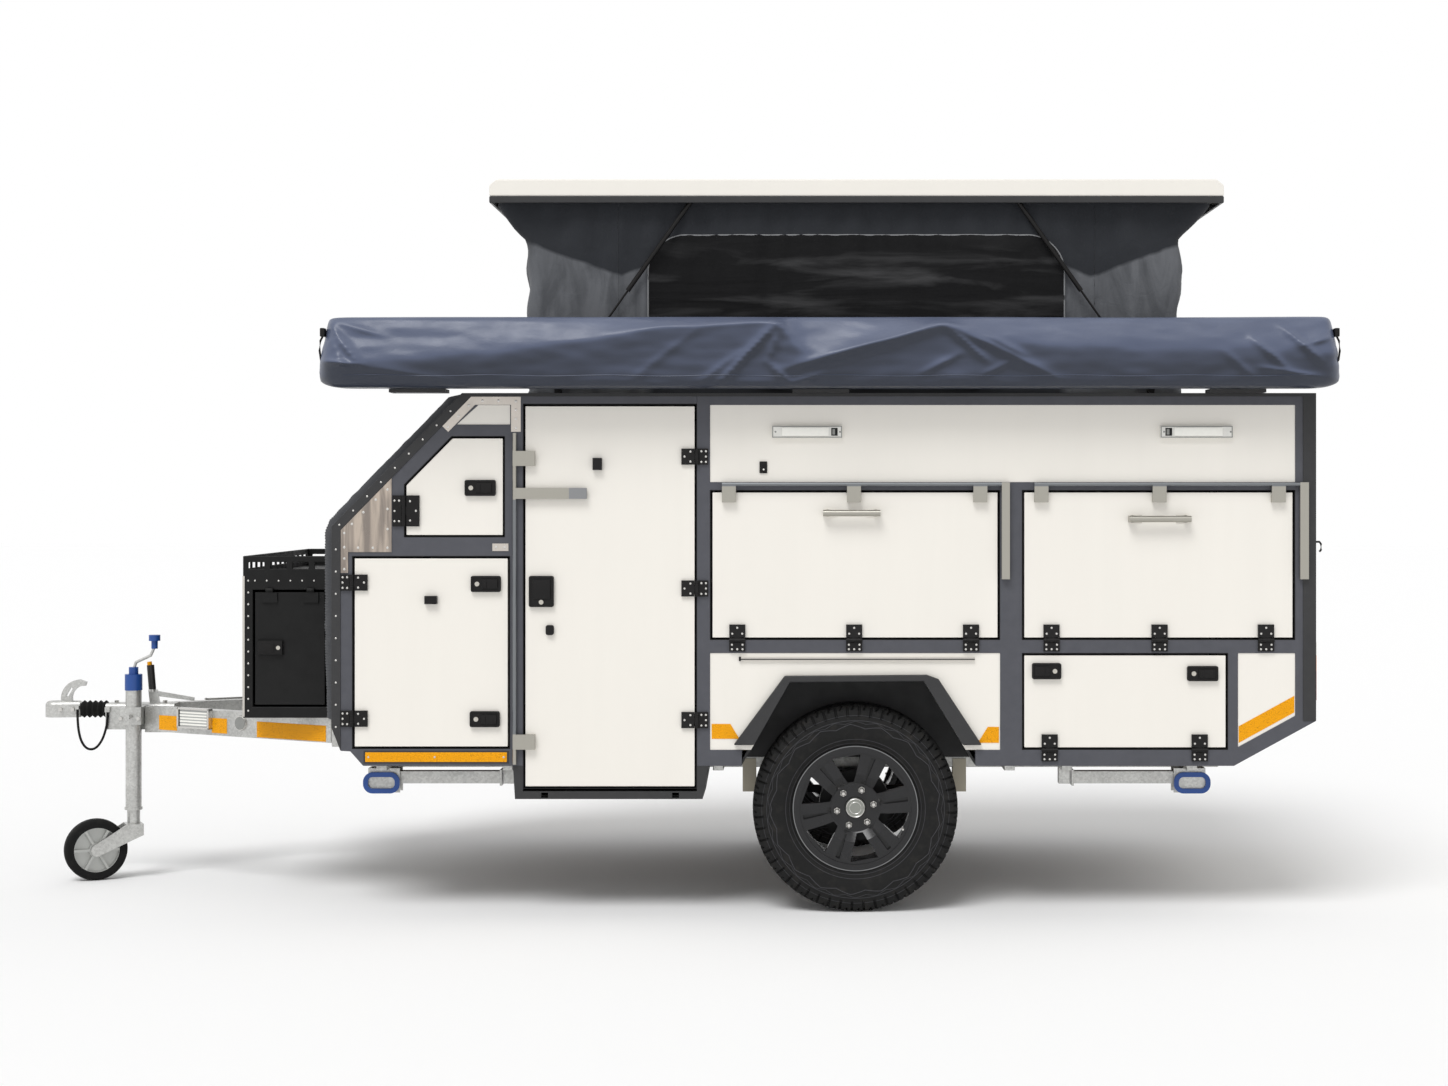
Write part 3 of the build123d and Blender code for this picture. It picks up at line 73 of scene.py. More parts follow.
class Bits:
    """Small forms gathered in one mesh."""

    def __init__(self):
        self.bm = bmesh.new()

    def block(self, low, high, bevel=0.0, turn=None):
        """Box between two corners, its edges rounded, turned about its middle by a matrix."""
        low, high = Vector(low), Vector(high)
        size = Matrix.Diagonal((*(high - low), 1.0))
        place = Matrix.Translation((low + high) / 2)
        made = bmesh.ops.create_cube(self.bm, size=1.0, matrix=place @ (turn or Matrix()) @ size)
        if bevel:
            edges = list({e for v in made["verts"] for e in v.link_edges})
            bmesh.ops.bevel(self.bm, geom=edges, offset=bevel, segments=2, profile=0.6, affect="EDGES")
        return self

    def rod(self, start, end, radius, tip=None, sides=14):
        """Round bar between two points, tapered where a tip radius is given."""
        start, end = Vector(start), Vector(end)
        aim = (end - start).to_track_quat("Z", "Y").to_matrix().to_4x4()
        place = Matrix.Translation((start + end) / 2) @ aim
        tip = radius if tip is None else tip
        bmesh.ops.create_cone(self.bm, cap_ends=True, segments=sides, radius1=radius, radius2=tip,
                              depth=(end - start).length, matrix=place)
        return self

    def slab(self, x, y, h, bevel=0.0):
        """Box between two x, two y and two heights above the floor."""
        return self.block((x[0], y[0], up(h[0])), (x[1], y[1], up(h[1])), bevel)

    def pin(self, x, h, y, radius, tip=None, sides=14):
        """Round bar across the part, between two y, at an x and a height above the floor."""
        return self.rod((x, y[0], up(h)), (x, y[1], up(h)), radius, tip, sides)

    def dome(self, base, out, radius, high, sides=12):
        """Round head on a surface: a short taper with a smaller cap."""
        base, out = Vector(base), Vector(out).normalized()
        self.rod(base, base + out * high * 0.6, radius, radius * 0.92, sides)
        self.rod(base + out * high * 0.6, base + out * high, radius * 0.92, radius * 0.45, sides)
        return self

    def prism(self, outline, y, depth, bevel=0.0):
        """Plate on the side: outline in x and height above the floor, drawn out towards -Y from y."""
        rings = [[self.bm.verts.new((x, at, up(h))) for x, h in outline] for at in (y, y - depth)]
        faces = [self.bm.faces.new(rings[0]), self.bm.faces.new(list(reversed(rings[1])))]
        count = len(outline)
        for i in range(count):
            j = (i + 1) % count
            faces.append(self.bm.faces.new((rings[0][i], rings[1][i], rings[1][j], rings[0][j])))
        bmesh.ops.recalc_face_normals(self.bm, faces=faces)
        if bevel:
            edges = list({e for f in faces for e in f.edges})
            bmesh.ops.bevel(self.bm, geom=edges, offset=bevel, segments=1, affect="EDGES")
        return self

    def tube(self, points, radius, sides=10, closed=False):
        """Round tube through points."""
        points = [Vector(p) for p in points]
        turns = [2 * math.pi * k / sides for k in range(sides)]
        circle = [Vector((radius * math.cos(a), radius * math.sin(a), 0)) for a in turns]
        count = len(points)
        rings = []
        for i, point in enumerate(points):
            before = points[i - 1] if closed or i else point
            after = points[(i + 1) % count] if closed or i < count - 1 else point
            aim = (after - before).to_track_quat("Z", "Y")
            rings.append([self.bm.verts.new(point + aim @ spoke) for spoke in circle])
        for i in range(count if closed else count - 1):
            one, two = rings[i], rings[(i + 1) % count]
            for k in range(sides):
                j = (k + 1) % sides
                self.bm.faces.new((one[k], one[j], two[j], two[k]))
        if not closed:
            self.bm.faces.new(list(reversed(rings[0])))
            self.bm.faces.new(rings[-1])
        return self

    def made(self, name, material, body="trailer", slot=None, sharp=35):
        """Turn the forms into a piece that rides on a body."""
        mesh = bpy.data.meshes.new(name)
        bmesh.ops.recalc_face_normals(self.bm, faces=self.bm.faces)
        self.bm.to_mesh(mesh)
        self.bm.free()
        return place(name, mesh, material, body, slot, sharp)


def place(name, mesh, material, body="trailer", slot=None, sharp=None):
    """Object of a mesh, with its material and body; slot is not used."""
    mesh.polygons.foreach_set("use_smooth", [True] * len(mesh.polygons))
    if sharp is not None:
        mesh.set_sharp_from_angle(angle=math.radians(sharp))
    obj = bpy.data.objects.new(name, mesh)
    scene.collection.objects.link(obj)
    obj.data.materials.append(material)
    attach(obj, body)
    return obj


def grid_mesh(name, rows, closed_rows=False):
    """Mesh of a grid of points, rows of equal length; closed_rows joins the last row to the first."""
    wide = len(rows[0])
    points = [p for row in rows for p in row]
    faces = []
    for i in range(len(rows) if closed_rows else len(rows) - 1):
        j = (i + 1) % len(rows)
        for k in range(wide - 1):
            faces.append((i * wide + k, i * wide + k + 1, j * wide + k + 1, j * wide + k))
    mesh = bpy.data.meshes.new(name)
    mesh.from_pydata(points, [], faces)
    return mesh


class Shade:
    """A procedural material, built up from noise in the piece's own coordinates."""

    def __init__(self, name, colour, rough, metal=0.0, **sockets):
        self.mat = bpy.data.materials.new(name)
        self.mat.use_nodes = True
        self.tree = self.mat.node_tree
        self.bsdf = self.tree.nodes["Principled BSDF"]
        self.colour = linear(colour) if isinstance(colour, str) else colour
        self.bsdf.inputs["Base Color"].default_value = (*self.colour, 1)
        self.bsdf.inputs["Roughness"].default_value = rough
        self.bsdf.inputs["Metallic"].default_value = metal
        for socket, value in sockets.items():
            self.bsdf.inputs[socket.replace("_", " ").title().replace("Ior", "IOR")].default_value = value
        self.coords = self.tree.nodes.new("ShaderNodeTexCoord").outputs["Object"]
        self.height = None
        self.mat.diffuse_color = (*self.colour, 1)

    def node(self, kind, inputs=None, **settings):
        """New shader node, with settings and with values or links for its inputs."""
        made = self.tree.nodes.new("ShaderNode" + kind)
        for name, value in settings.items():
            setattr(made, name, value)
        for key, value in (inputs or {}).items():
            if isinstance(value, bpy.types.NodeSocket):
                self.tree.links.new(value, made.inputs[key])
            else:
                made.inputs[key].default_value = value
        return made

    def math(self, operation, a, b=0.0):
        return self.node("Math", {0: a, 1: b}, operation=operation).outputs[0]

    def plus(self, a, b):
        return self.math("ADD", a, b)

    def less(self, a, b):
        """The first value less the second."""
        return self.math("SUBTRACT", a, b)

    def times(self, a, b):
        return self.math("MULTIPLY", a, b)

    def span(self, value, low, high, to_low=0.0, to_high=1.0):
        """Map a value from one range to another, held at the ends."""
        made = self.node("MapRange", {"Value": value, "From Min": low, "From Max": high,
                                      "To Min": to_low, "To Max": to_high})
        return made.outputs["Result"]

    def stretched(self, stretch):
        return self.node("Mapping", {"Vector": self.coords, "Scale": stretch}).outputs[0]

    def noise(self, scale, detail=4.0, stretch=(1, 1, 1), distortion=0.0):
        made = self.node("TexNoise", {"Vector": self.stretched(stretch), "Scale": scale, "Detail": detail,
                                      "Distortion": distortion})
        return made.outputs["Fac"]

    def mix(self, factor, a, b):
        """Blend of two colours or colour sockets."""
        made = self.node("Mix", {0: factor}, data_type="RGBA")
        for index, value in ((6, a), (7, b)):
            if isinstance(value, bpy.types.NodeSocket):
                self.tree.links.new(value, made.inputs[index])
            else:
                made.inputs[index].default_value = (*value[:3], 1)
        return made.outputs[2]

    def shades(self, factor, low, high):
        """The base colour made darker and lighter by a factor."""
        return self.mix(factor, [c * low for c in self.colour], [c * high for c in self.colour])

    def to(self, socket, value):
        self.tree.links.new(value, self.bsdf.inputs[socket])
        return self

    def vary(self, amount, scale, stretch=(1, 1, 1)):
        """Uneven tone of the base colour."""
        return self.to("Base Color", self.shades(self.noise(scale, 5.0, stretch), 1 - amount, 1 + amount))

    def uneven(self, low, high, scale, stretch=(1, 1, 1)):
        """Uneven gloss."""
        return self.to("Roughness", self.span(self.noise(scale, 5.0, stretch), 0.3, 0.7, low, high))

    def relief(self, height, strength, distance):
        """Bump from a height, added to the bump that is there."""
        made = self.node("Bump", {"Height": height, "Strength": strength, "Distance": distance})
        if self.height is not None:
            self.tree.links.new(self.height, made.inputs["Normal"])
        self.height = made.outputs["Normal"]
        return self.to("Normal", self.height)

    def grain(self, scale, strength, distance=0.001, stretch=(1, 1, 1)):
        return self.relief(self.noise(scale, 3.0, stretch), strength, distance)

    def axis(self, name):
        """One of the piece's own coordinates."""
        return self.node("SeparateXYZ", {0: self.coords}).outputs[name]

    def within(self, **ranges):
        """1 inside ranges of x, y and z, and 0 outside them."""
        mask = None
        for name, (low, high) in ranges.items():
            value = self.axis(name.upper())
            inside = self.times(self.math("GREATER_THAN", value, low), self.math("LESS_THAN", value, high))
            mask = inside if mask is None else self.times(mask, inside)
        return mask

    def zones(self, areas):
        """Other colour, roughness and metal in boxes of the piece: (ranges, colour, rough, metal)."""
        for ranges, colour, rough, metal in areas:
            self.patch(self.within(**ranges), colour, rough, metal)
        return self

    def patch(self, mask, colour, rough, metal):
        """Other colour, roughness and metal where a mask is 1."""
        for socket, value in (("Base Color", linear(colour)), ("Roughness", rough), ("Metallic", metal)):
            here = self.bsdf.inputs[socket]
            now = here.links[0].from_socket if here.links else here.default_value
            if socket == "Base Color":
                self.to(socket, self.mix(mask, now, value))
            else:
                self.to(socket, self.node("Mix", {0: mask, 2: now, 3: value}).outputs[0])
        return self

    def distance(self, point, axis):
        """Distance from a line through a point."""
        away = self.node("VectorMath", {0: self.coords, 1: point}, operation="SUBTRACT").outputs[0]
        square = self.node("VectorMath", {0: away, 1: axis}, operation="CROSS_PRODUCT").outputs[0]
        return self.node("VectorMath", {0: square}, operation="LENGTH").outputs["Value"]


# Camera, floor and light: the photograph's place, level and square to the door side
photo_width, photo_height = 1448, 1086
photo_focus = 2347.0         # focal length in the photograph's pixels
photo_axis = (802.0, 493.0)  # pixel that the camera looks straight at
camera_place = (3.080, -9.73, up(1.575))
sensor = 36.0

camera = bpy.data.objects.new("camera", bpy.data.cameras.new("camera"))
camera.data.sensor_width = sensor
camera.data.lens = sensor * photo_focus / photo_width
camera.data.shift_x = (photo_width / 2 - photo_axis[0]) / photo_width
camera.data.shift_y = (photo_axis[1] - photo_height / 2) / photo_width
camera.location = camera_place
camera.rotation_euler = (math.pi / 2, 0, 0)
camera.data.clip_end = 200
scene.collection.objects.link(camera)
scene.camera = camera
scene.view_settings.view_transform = "Standard"

sky_level = 0.62             # light from all round
sun_power = 1.55
sun_width = 28               # degrees across, for soft shadows
sun_way = (0.22, 0.52, -0.82)
floor_tone = 0.97
floor_half = 60.0


def light_stage():
    """World, one soft sun from high on the door side, and a plain pale floor."""
    world = bpy.data.worlds.new("studio")
    world.use_nodes = True
    scene.world = world
    tree = world.node_tree
    path = tree.nodes.new("ShaderNodeLightPath").outputs
    seen = path["Is Camera Ray"]
    for ray in ("Is Glossy Ray", "Is Transmission Ray"):
        both = tree.nodes.new("ShaderNodeMath")
        both.operation = "MAXIMUM"
        tree.links.new(seen, both.inputs[0])
        tree.links.new(path[ray], both.inputs[1])
        seen = both.outputs[0]
    level = tree.nodes.new("ShaderNodeMapRange")
    level.inputs["To Min"].default_value = sky_level
    tree.links.new(seen, level.inputs["Value"])
    back = tree.nodes["Background"]
    back.inputs["Color"].default_value = (1, 1, 1, 1)
    tree.links.new(level.outputs[0], back.inputs["Strength"])
    sun = bpy.data.objects.new("sun", bpy.data.lights.new("sun", "SUN"))
    sun.data.energy = sun_power
    sun.data.angle = math.radians(sun_width)
    sun.rotation_euler = Vector(sun_way).to_track_quat("-Z", "Y").to_euler()
    scene.collection.objects.link(sun)
    mesh = bpy.data.meshes.new("floor")
    corners = ((-1, -1), (1, -1), (1, 1), (-1, 1))
    mesh.from_pydata([(x * floor_half, y * floor_half, ground) for x, y in corners], [], [(0, 1, 2, 3)])
    floor = bpy.data.objects.new("floor", mesh)
    scene.collection.objects.link(floor)
    shade = Shade("floor_pale", [floor_tone] * 3, 0.9, specular_ior_level=0.1)
    mesh.materials.append(shade.mat)


light_stage()

# Finishes
finish = {}


def keep(slot, shade):
    finish[slot] = shade.mat
    return shade


def painted(name, colour, rough=0.42):
    """Satin coat with faint orange peel and soft unevenness."""
    shade = Shade(name, colour, rough, coat_weight=0.12, coat_roughness=0.25)
    shade.uneven(rough - 0.07, rough + 0.08, 9.0)
    shade.grain(420.0, 0.05)
    return shade


def panel_white():
    """Composite sheet: warm white, with faint rain streaks."""
    shade = painted("white_panel", "#F0ECE4", 0.4)
    return shade.to("Base Color", shade.shades(shade.noise(2.2, 4.0, (6, 6, 0.5)), 0.975, 1.015))


def coat(name, colour, rough=0.45, fine=600.0):
    """Powder coat with a fine texture and dusty high spots."""
    shade = Shade(name, colour, rough, specular_ior_level=0.22)
    shade.to("Base Color", shade.shades(shade.noise(30.0, 6.0), 0.86, 1.12))
    shade.uneven(rough - 0.08, rough + 0.12, 24.0)
    return shade.grain(fine, 0.12)


def galvanised(name="galvanised"):
    """Zinc with a fine spangle, dull patches and runs."""
    shade = Shade(name, "#C6C6C3", 0.4, 0.75)
    spangle = shade.node("TexVoronoi", {"Vector": shade.coords, "Scale": 150.0}).outputs["Color"]
    flake = shade.node("SeparateColor", {0: spangle}).outputs[0]
    patch = shade.plus(shade.times(flake, 0.3), shade.times(shade.noise(8.0, 6.0), 0.7))
    shade.to("Base Color", shade.shades(shade.span(patch, 0.25, 0.75), 0.74, 1.08))
    shade.to("Roughness", shade.span(patch, 0.25, 0.75, 0.5, 0.3))
    return shade.grain(260.0, 0.08)


def steel(name, colour, rough, stretch):
    """Brushed metal, its lines along the piece, with handling marks."""
    shade = Shade(name, colour, rough, 0.9)
    shade.to("Base Color", shade.shades(shade.noise(160.0, 3.0, stretch), 0.82, 1.08))
    shade.to("Roughness", shade.span(shade.noise(22.0, 5.0), 0.3, 0.7, rough - 0.1, rough + 0.14))
    return shade.grain(500.0, 0.06, 0.0006, stretch)


def rubber(name, colour, dust="#6B6459", amount=0.3):
    """Rubber with dust lying in it."""
    shade = Shade(name, colour, 0.78, specular_ior_level=0.14)
    lying = shade.span(shade.noise(26.0, 7.0), 0.52, 0.8, 0.0, amount)
    shade.to("Base Color", shade.mix(lying, shade.shades(shade.noise(90.0, 4.0), 0.8, 1.2), linear(dust)))
    return shade.grain(500.0, 0.15)


def plastic(name, colour, rough=0.45):
    shade = Shade(name, colour, rough, specular_ior_level=0.2)
    shade.vary(0.1, 40.0).uneven(rough - 0.08, rough + 0.1, 60.0)
    return shade.grain(900.0, 0.08)


def cloth(name, colour, weave, depth, rough, **sockets):
    """Plain weave: two crossed sets of threads, and uneven dye."""
    shade = Shade(name, colour, rough, specular_ior_level=0.12, **sockets)
    height = None
    for direction in ((0.02, 0.02, 1), (1, 1, 0.02)):
        wave = {"Vector": shade.stretched(direction), "Scale": weave, "Distortion": 0.6, "Detail": 1.0}
        thread = shade.node("TexWave", wave, bands_direction="DIAGONAL").outputs["Fac"]
        height = thread if height is None else shade.math("MAXIMUM", height, thread)
    return shade.relief(height, depth, 0.0006)


def canvas_cloth():
    """Tent canvas: nearly black, with painted light: paler patches low at both ends, below the painted edge
    of the lid's shadow.
    """
    shade = cloth("canvas_cloth", "#303236", 260.0, 0.25, 0.85, sheen_weight=0.12)
    dip_away, dip_high = 0.894, 2.407   # lowest point of the painted shadow edge: from the middle, height
    away = shade.math("ABSOLUTE", shade.less(shade.axis("X"), 3.287))
    rising = shade.plus(shade.times(away, 0.365), dip_high - 0.365 * dip_away)
    falling = shade.plus(shade.times(away, -0.402), dip_high + 0.402 * dip_away)
    top = shade.plus(shade.math("MAXIMUM", rising, falling), ground)
    wander = shade.span(shade.noise(9.0, 5.0), 0.3, 0.7, -0.006, 0.006)
    below = shade.less(shade.plus(top, wander), shade.axis("Z"))
    crease = shade.span(shade.noise(6.0, 7.0, (1.6, 1, 0.5), 1.4), 0.36, 0.62, 0.5, 0.95)
    # painted light: near the ends, below the painted shadow edge, the cloth is drawn paler (#6C6E72) in noise
    # streaks
    painted_light_patch = shade.times(shade.span(below, 0.0, 0.014), shade.span(away, 0.77, 0.81))
    tone = shade.shades(shade.noise(9.0, 6.0), 0.8, 1.18)
    shade.to("Base Color", shade.mix(shade.times(painted_light_patch, crease), tone, linear("#6C6E72")))
    return shade.relief(shade.noise(16.0, 6.0, (1, 1, 1), 0.8), 0.35, 0.012)


def awning_cloth():
    """Coated cloth: slate blue, a soft gloss, fine crazing, painted shade where it faces down, and paler
    patches where it faces up.
    """
    shade = Shade("awning_cloth", "#525A70", 0.34, specular_ior_level=0.35)
    facing = shade.node("SeparateXYZ", {0: shade.node("TexCoord").outputs["Normal"]}).outputs["Z"]
    tone = shade.shades(shade.noise(4.0, 6.0, (0.4, 1, 1)), 0.92, 1.08)
    # painted shade: faces that turn down are drawn darker, towards #22262E
    painted_shade = shade.span(facing, -0.5, 0.08, 0.8, 0.0)
    tone = shade.mix(painted_shade, tone, linear("#22262E"))
    # paler patches of #7C8499 where the cloth faces up
    patches = shade.span(shade.noise(9.0, 8.0, (0.5, 1, 2.2)), 0.4, 0.8, 0.1, 0.4)
    paler_facing_up = shade.times(shade.span(facing, 0.1, 0.6), patches)
    shade.to("Base Color", shade.mix(paler_facing_up, tone, linear("#7C8499")))
    shade.uneven(0.28, 0.42, 12.0)
    shade.relief(shade.noise(30.0, 6.0, (0.6, 1, 1.4), 1.5), 0.12, 0.005)
    return shade.grain(700.0, 0.05)


def amber_tape():
    """Reflective tape: amber, with a fine honeycomb of cells under its face."""
    shade = Shade("amber_tape", "#F5A803", 0.32, specular_ior_level=0.2)
    cells = shade.node("TexVoronoi", {"Vector": shade.coords, "Scale": 160.0},
                       feature="DISTANCE_TO_EDGE").outputs["Distance"]
    wall = shade.span(cells, 0.02, 0.08)
    shade.to("Base Color", shade.mix(wall, linear("#C98203"), shade.shades(shade.noise(20.0), 0.94, 1.06)))
    return shade.relief(wall, 0.1, 0.0005)


keep("white_panel", panel_white())
keep("frame_grey", coat("frame_grey", "#54555B", 0.42))
keep("dark_trim", coat("dark_trim", "#3B3B3C", 0.4))
keep("black_fittings", plastic("black_fittings", "#191818", 0.4))
keep("black_coat", coat("black_coat", "#161616", 0.5, 380.0))
keep("galvanised", galvanised())
keep("bare_aluminium", steel("bare_aluminium", "#CFCBC4", 0.36, (6, 1, 1)))
keep("rubber", rubber("rubber", "#1A1A1A", "#4E4A44", 0.15))
keep("canvas_cloth", canvas_cloth())
keep("awning_cloth", awning_cloth())
keep("floor_board", coat("floor_board", "#4A3A2C", 0.6, 90.0))
amber = amber_tape().mat
stainless = steel("stainless", "#C9C5BC", 0.3, (1, 1, 6)).mat
bright = steel("bright_steel", "#D2D0CC", 0.26, (1, 1, 1)).mat


# Trailer cable: hangs in a loop from the housing to the coupling head; points are x, y and height
cable_route = [(0.218, -0.057, 0.672), (0.218, -0.057, 0.638), (0.211, -0.061, 0.596), (0.197, -0.065, 0.554),
               (0.171, -0.067, 0.521), (0.137, -0.065, 0.519), (0.111, -0.059, 0.548), (0.096, -0.049, 0.592),
               (0.088, -0.038, 0.646), (0.088, -0.038, 0.682)]
cable_diameter = 0.010


def trailer_cable():
    curve = bpy.data.curves.new("trailer_cable_line", "CURVE")
    curve.dimensions = "3D"
    curve.bevel_depth = cable_diameter / 2
    curve.bevel_resolution = 4
    curve.use_fill_caps = True
    spline = curve.splines.new("NURBS")
    spline.points.add(len(cable_route) - 1)
    for point, (x, y, height) in zip(spline.points, cable_route):
        point.co = (x, y, up(height), 1)
    spline.order_u = 3
    spline.use_endpoint_u = True
    spline.resolution_u = 12
    obj = bpy.data.objects.new("trailer_cable_line", curve)
    scene.collection.objects.link(obj)
    curve.materials.append(finish["rubber"])
    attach(obj, "trailer")
    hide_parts("trailer_cable")
    x, y, height = cable_route[0]


trailer_cable()


def settle(obj, pinned, grow, pressure=0.0, gravity=0.0, cap=0.02, frames=20, stiff=12.0, bend=0.4):
    """Let a mesh find its folds as cloth cut a little too large, then keep the result."""
    rest = [v.co.copy() for v in obj.data.vertices]
    held = obj.vertex_groups.new(name="held")
    held.add(pinned, 1.0, "REPLACE")
    cloth = obj.modifiers.new("cloth", "CLOTH")
    settings = cloth.settings
    settings.quality = 5
    settings.mass = 0.25
    settings.vertex_group_mass = "held"
    settings.tension_stiffness = settings.compression_stiffness = stiff
    settings.shear_stiffness = stiff / 2
    settings.bending_stiffness = bend
    settings.shrink_min = -grow
    settings.use_pressure = pressure > 0
    settings.uniform_pressure_force = pressure
    settings.effector_weights.gravity = gravity
    cloth.collision_settings.use_collision = False
    cloth.point_cache.frame_end = frames
    for number in range(1, frames + 1):
        scene.frame_set(number)
    shaped = bpy.data.meshes.new_from_object(obj.evaluated_get(bpy.context.evaluated_depsgraph_get()))
    for vertex, before, after in zip(obj.data.vertices, rest, shaped.vertices):
        move = after.co - before
        far = move.length
        vertex.co = before + (move * (cap * math.tanh(far / cap) / far) if far > 1e-9 else move)
    bpy.data.meshes.remove(shaped)
    obj.modifiers.clear()
    obj.vertex_groups.clear()
    scene.frame_set(1)


def fold(point, seed, scale):
    """Soft unevenness between -1 and 1."""
    return noise.noise(Vector(point) * scale + Vector((seed, 0, 0)))


# Canvas between the deck and the lid: four walls that flare at both ends to meet the lid
canvas_x = (2.026, 4.530)
canvas_half = 0.796
canvas_reach = 0.805         # as far out as a fold may stand
canvas_corner = 0.05
canvas_low, canvas_top = 1.949, 2.733
flare_start, flare_reach = 2.555, 0.105
canvas_step = 0.02


def canvas_ring():
    """Points round the walls: a rectangle with round corners, evenly spaced, with the way out at each."""
    ring = []
    low, high = canvas_x[0] + canvas_corner, canvas_x[1] - canvas_corner
    edge = canvas_half - canvas_corner
    runs = [((low, -canvas_half), (high, -canvas_half), (0, -1)),
            ((canvas_x[1], -edge), (canvas_x[1], edge), (1, 0)),
            ((high, canvas_half), (low, canvas_half), (0, 1)),
            ((canvas_x[0], edge), (canvas_x[0], -edge), (-1, 0))]
    for (x0, y0), (x1, y1), out in runs:
        count = round(math.hypot(x1 - x0, y1 - y0) / canvas_step)
        for i in range(count + 1):
            share = i / count
            ring.append(((x0 + (x1 - x0) * share, y0 + (y1 - y0) * share), out))
        start = math.atan2(out[1], out[0])
        centre = (x1 - out[0] * canvas_corner, y1 - out[1] * canvas_corner)
        for i in range(1, 4):
            turn = start + math.pi / 8 * i
            way = (math.cos(turn), math.sin(turn))
            ring.append(((centre[0] + way[0] * canvas_corner, centre[1] + way[1] * canvas_corner), way))
    return ring


def canvas_walls():
    ring = canvas_ring()
    levels = round((canvas_top - canvas_low) / canvas_step)
    rows = []
    for (x, y), out in ring:
        row = []
        for i in range(levels + 1):
            share = i / levels
            height = canvas_low + (canvas_top - canvas_low) * share
            flare = flare_reach * min(1.0, max(0.0, (height - flare_start) / 0.12))
            ends = max(0.0, abs(x - sum(canvas_x) / 2) - 1.0) / 0.25
            slack = math.sin(math.pi * share) ** 0.7
            depth = 0.004 * fold((x * 0.6, y, height * 2.0), 3.0, 4.0) - 0.005 * slack
            depth += slack * abs(out[0]) * 0.022 * fold((x, y * 0.5, height * 1.6), 8.0, 7.0)
            shift = math.copysign(flare * min(1.0, ends), x - sum(canvas_x) / 2)
            row.append((x + shift + out[0] * depth, y + out[1] * depth, up(height)))
        rows.append(row)
    obj = place("canvas_walls", grid_mesh("canvas_walls", rows, True), finish["canvas_cloth"])
    wide = levels + 1
    pinned = [i for i in range(len(obj.data.vertices)) if i % wide in (0, levels)]
    settle(obj, pinned, 0.035, gravity=0.5, cap=0.011, bend=0.9)
    for vertex in obj.data.vertices:
        vertex.co.y = max(-canvas_reach, min(canvas_reach, vertex.co.y))
    skin = obj.modifiers.new("skin", "SOLIDIFY")
    skin.thickness = 0.0015
    skin.offset = -1
    apply(obj)
    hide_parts("canvas")
    squashed(obj)
    return surface(obj.data)


def squashed(obj):
    """Give a piece of the tent its own copy of its mesh."""
    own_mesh(obj)


def surface(mesh):
    return BVHTree.FromPolygons([v.co for v in mesh.vertices], [p.vertices for p in mesh.polygons])


def laid(tree, x, height, hand, proud):
    """Point just outside a soft surface, seen square from one side."""
    start = Vector((x, 1.5 * hand, up(height)))
    found = tree.ray_cast(start, Vector((0, -hand, 0)))[0]
    return Vector((x, found.y + hand * proud, up(height)))


def apply(obj):
    """Make an object's modifiers part of its mesh."""
    shaped = bpy.data.meshes.new_from_object(obj.evaluated_get(bpy.context.evaluated_depsgraph_get()))
    old = obj.data
    name = old.name
    obj.modifiers.clear()
    obj.data = shaped
    bpy.data.meshes.remove(old)
    shaped.name = name


# Gauze window in each side wall: its edges and corner radius, and the seams beside it
window_x = (2.494, 4.079)
window_low, window_high = 2.060, 2.557
window_corner = 0.142
gauze_proud = 0.0015
piping_radius = 0.003
piping_proud = (-0.001, 0.003)  # at the window's upper and lower edges; less above, clear of the lowered lid
seam_x = (2.380, 4.195)
seam_high = (canvas_low + 0.01, canvas_low + 0.72)


def window_edge(height):
    """How far the round corners draw in the window's sides at a height."""
    off = max(0.0, height - (window_high - window_corner), window_low + window_corner - height)
    return window_corner - math.sqrt(max(0.0, window_corner ** 2 - off ** 2))


def laid_row(tree, ends, height, hand, proud, count):
    """Evenly spaced points between two x, at one height on a soft surface."""
    spots = [ends[0] + (ends[1] - ends[0]) * k / count for k in range(count + 1)]
    return [laid(tree, x, height, hand, proud) for x in spots]


def canvas_windows(tree):
    wide, tall = 120, 40
    for hand, side in ((-1, "near"), (1, "far")):
        rows, left, right = [], [], []
        for i in range(tall + 1):
            share = 0.5 - 0.5 * math.cos(math.pi * i / tall)
            height = window_low + (window_high - window_low) * share
            ends = (window_x[0] + window_edge(height), window_x[1] - window_edge(height))
            rows.append(laid_row(tree, ends, height, hand, gauze_proud, wide))
            proud = piping_proud[0] + (piping_proud[1] - piping_proud[0]) * (1 - share) ** 0.5
            left.append(laid(tree, ends[0], height, hand, proud))
            right.append(laid(tree, ends[1], height, hand, proud))
        gauze = place("gauze_" + side, grid_mesh("gauze_" + side, rows), gauze_cloth)
        squashed(gauze)
        over = laid_row(tree, (left[-1].x, right[-1].x), window_high, hand, piping_proud[0], 40)[1:-1]
        under = laid_row(tree, (left[0].x, right[0].x), window_low, hand, piping_proud[1], 40)[1:-1]
        piping = Bits().tube(left + over + right[::-1] + under[::-1], piping_radius, 8, True)
        squashed(piping.made("piping_" + side, piping_cloth))
        seams = Bits()
        for x in seam_x:
            heights = [seam_high[0] + (seam_high[1] - seam_high[0]) * k / 30 for k in range(31)]
            seams.tube([laid(tree, x, height, hand, 0.0002) for height in heights], 0.0017, 6)
        squashed(seams.made("seams_" + side, finish["canvas_cloth"]))


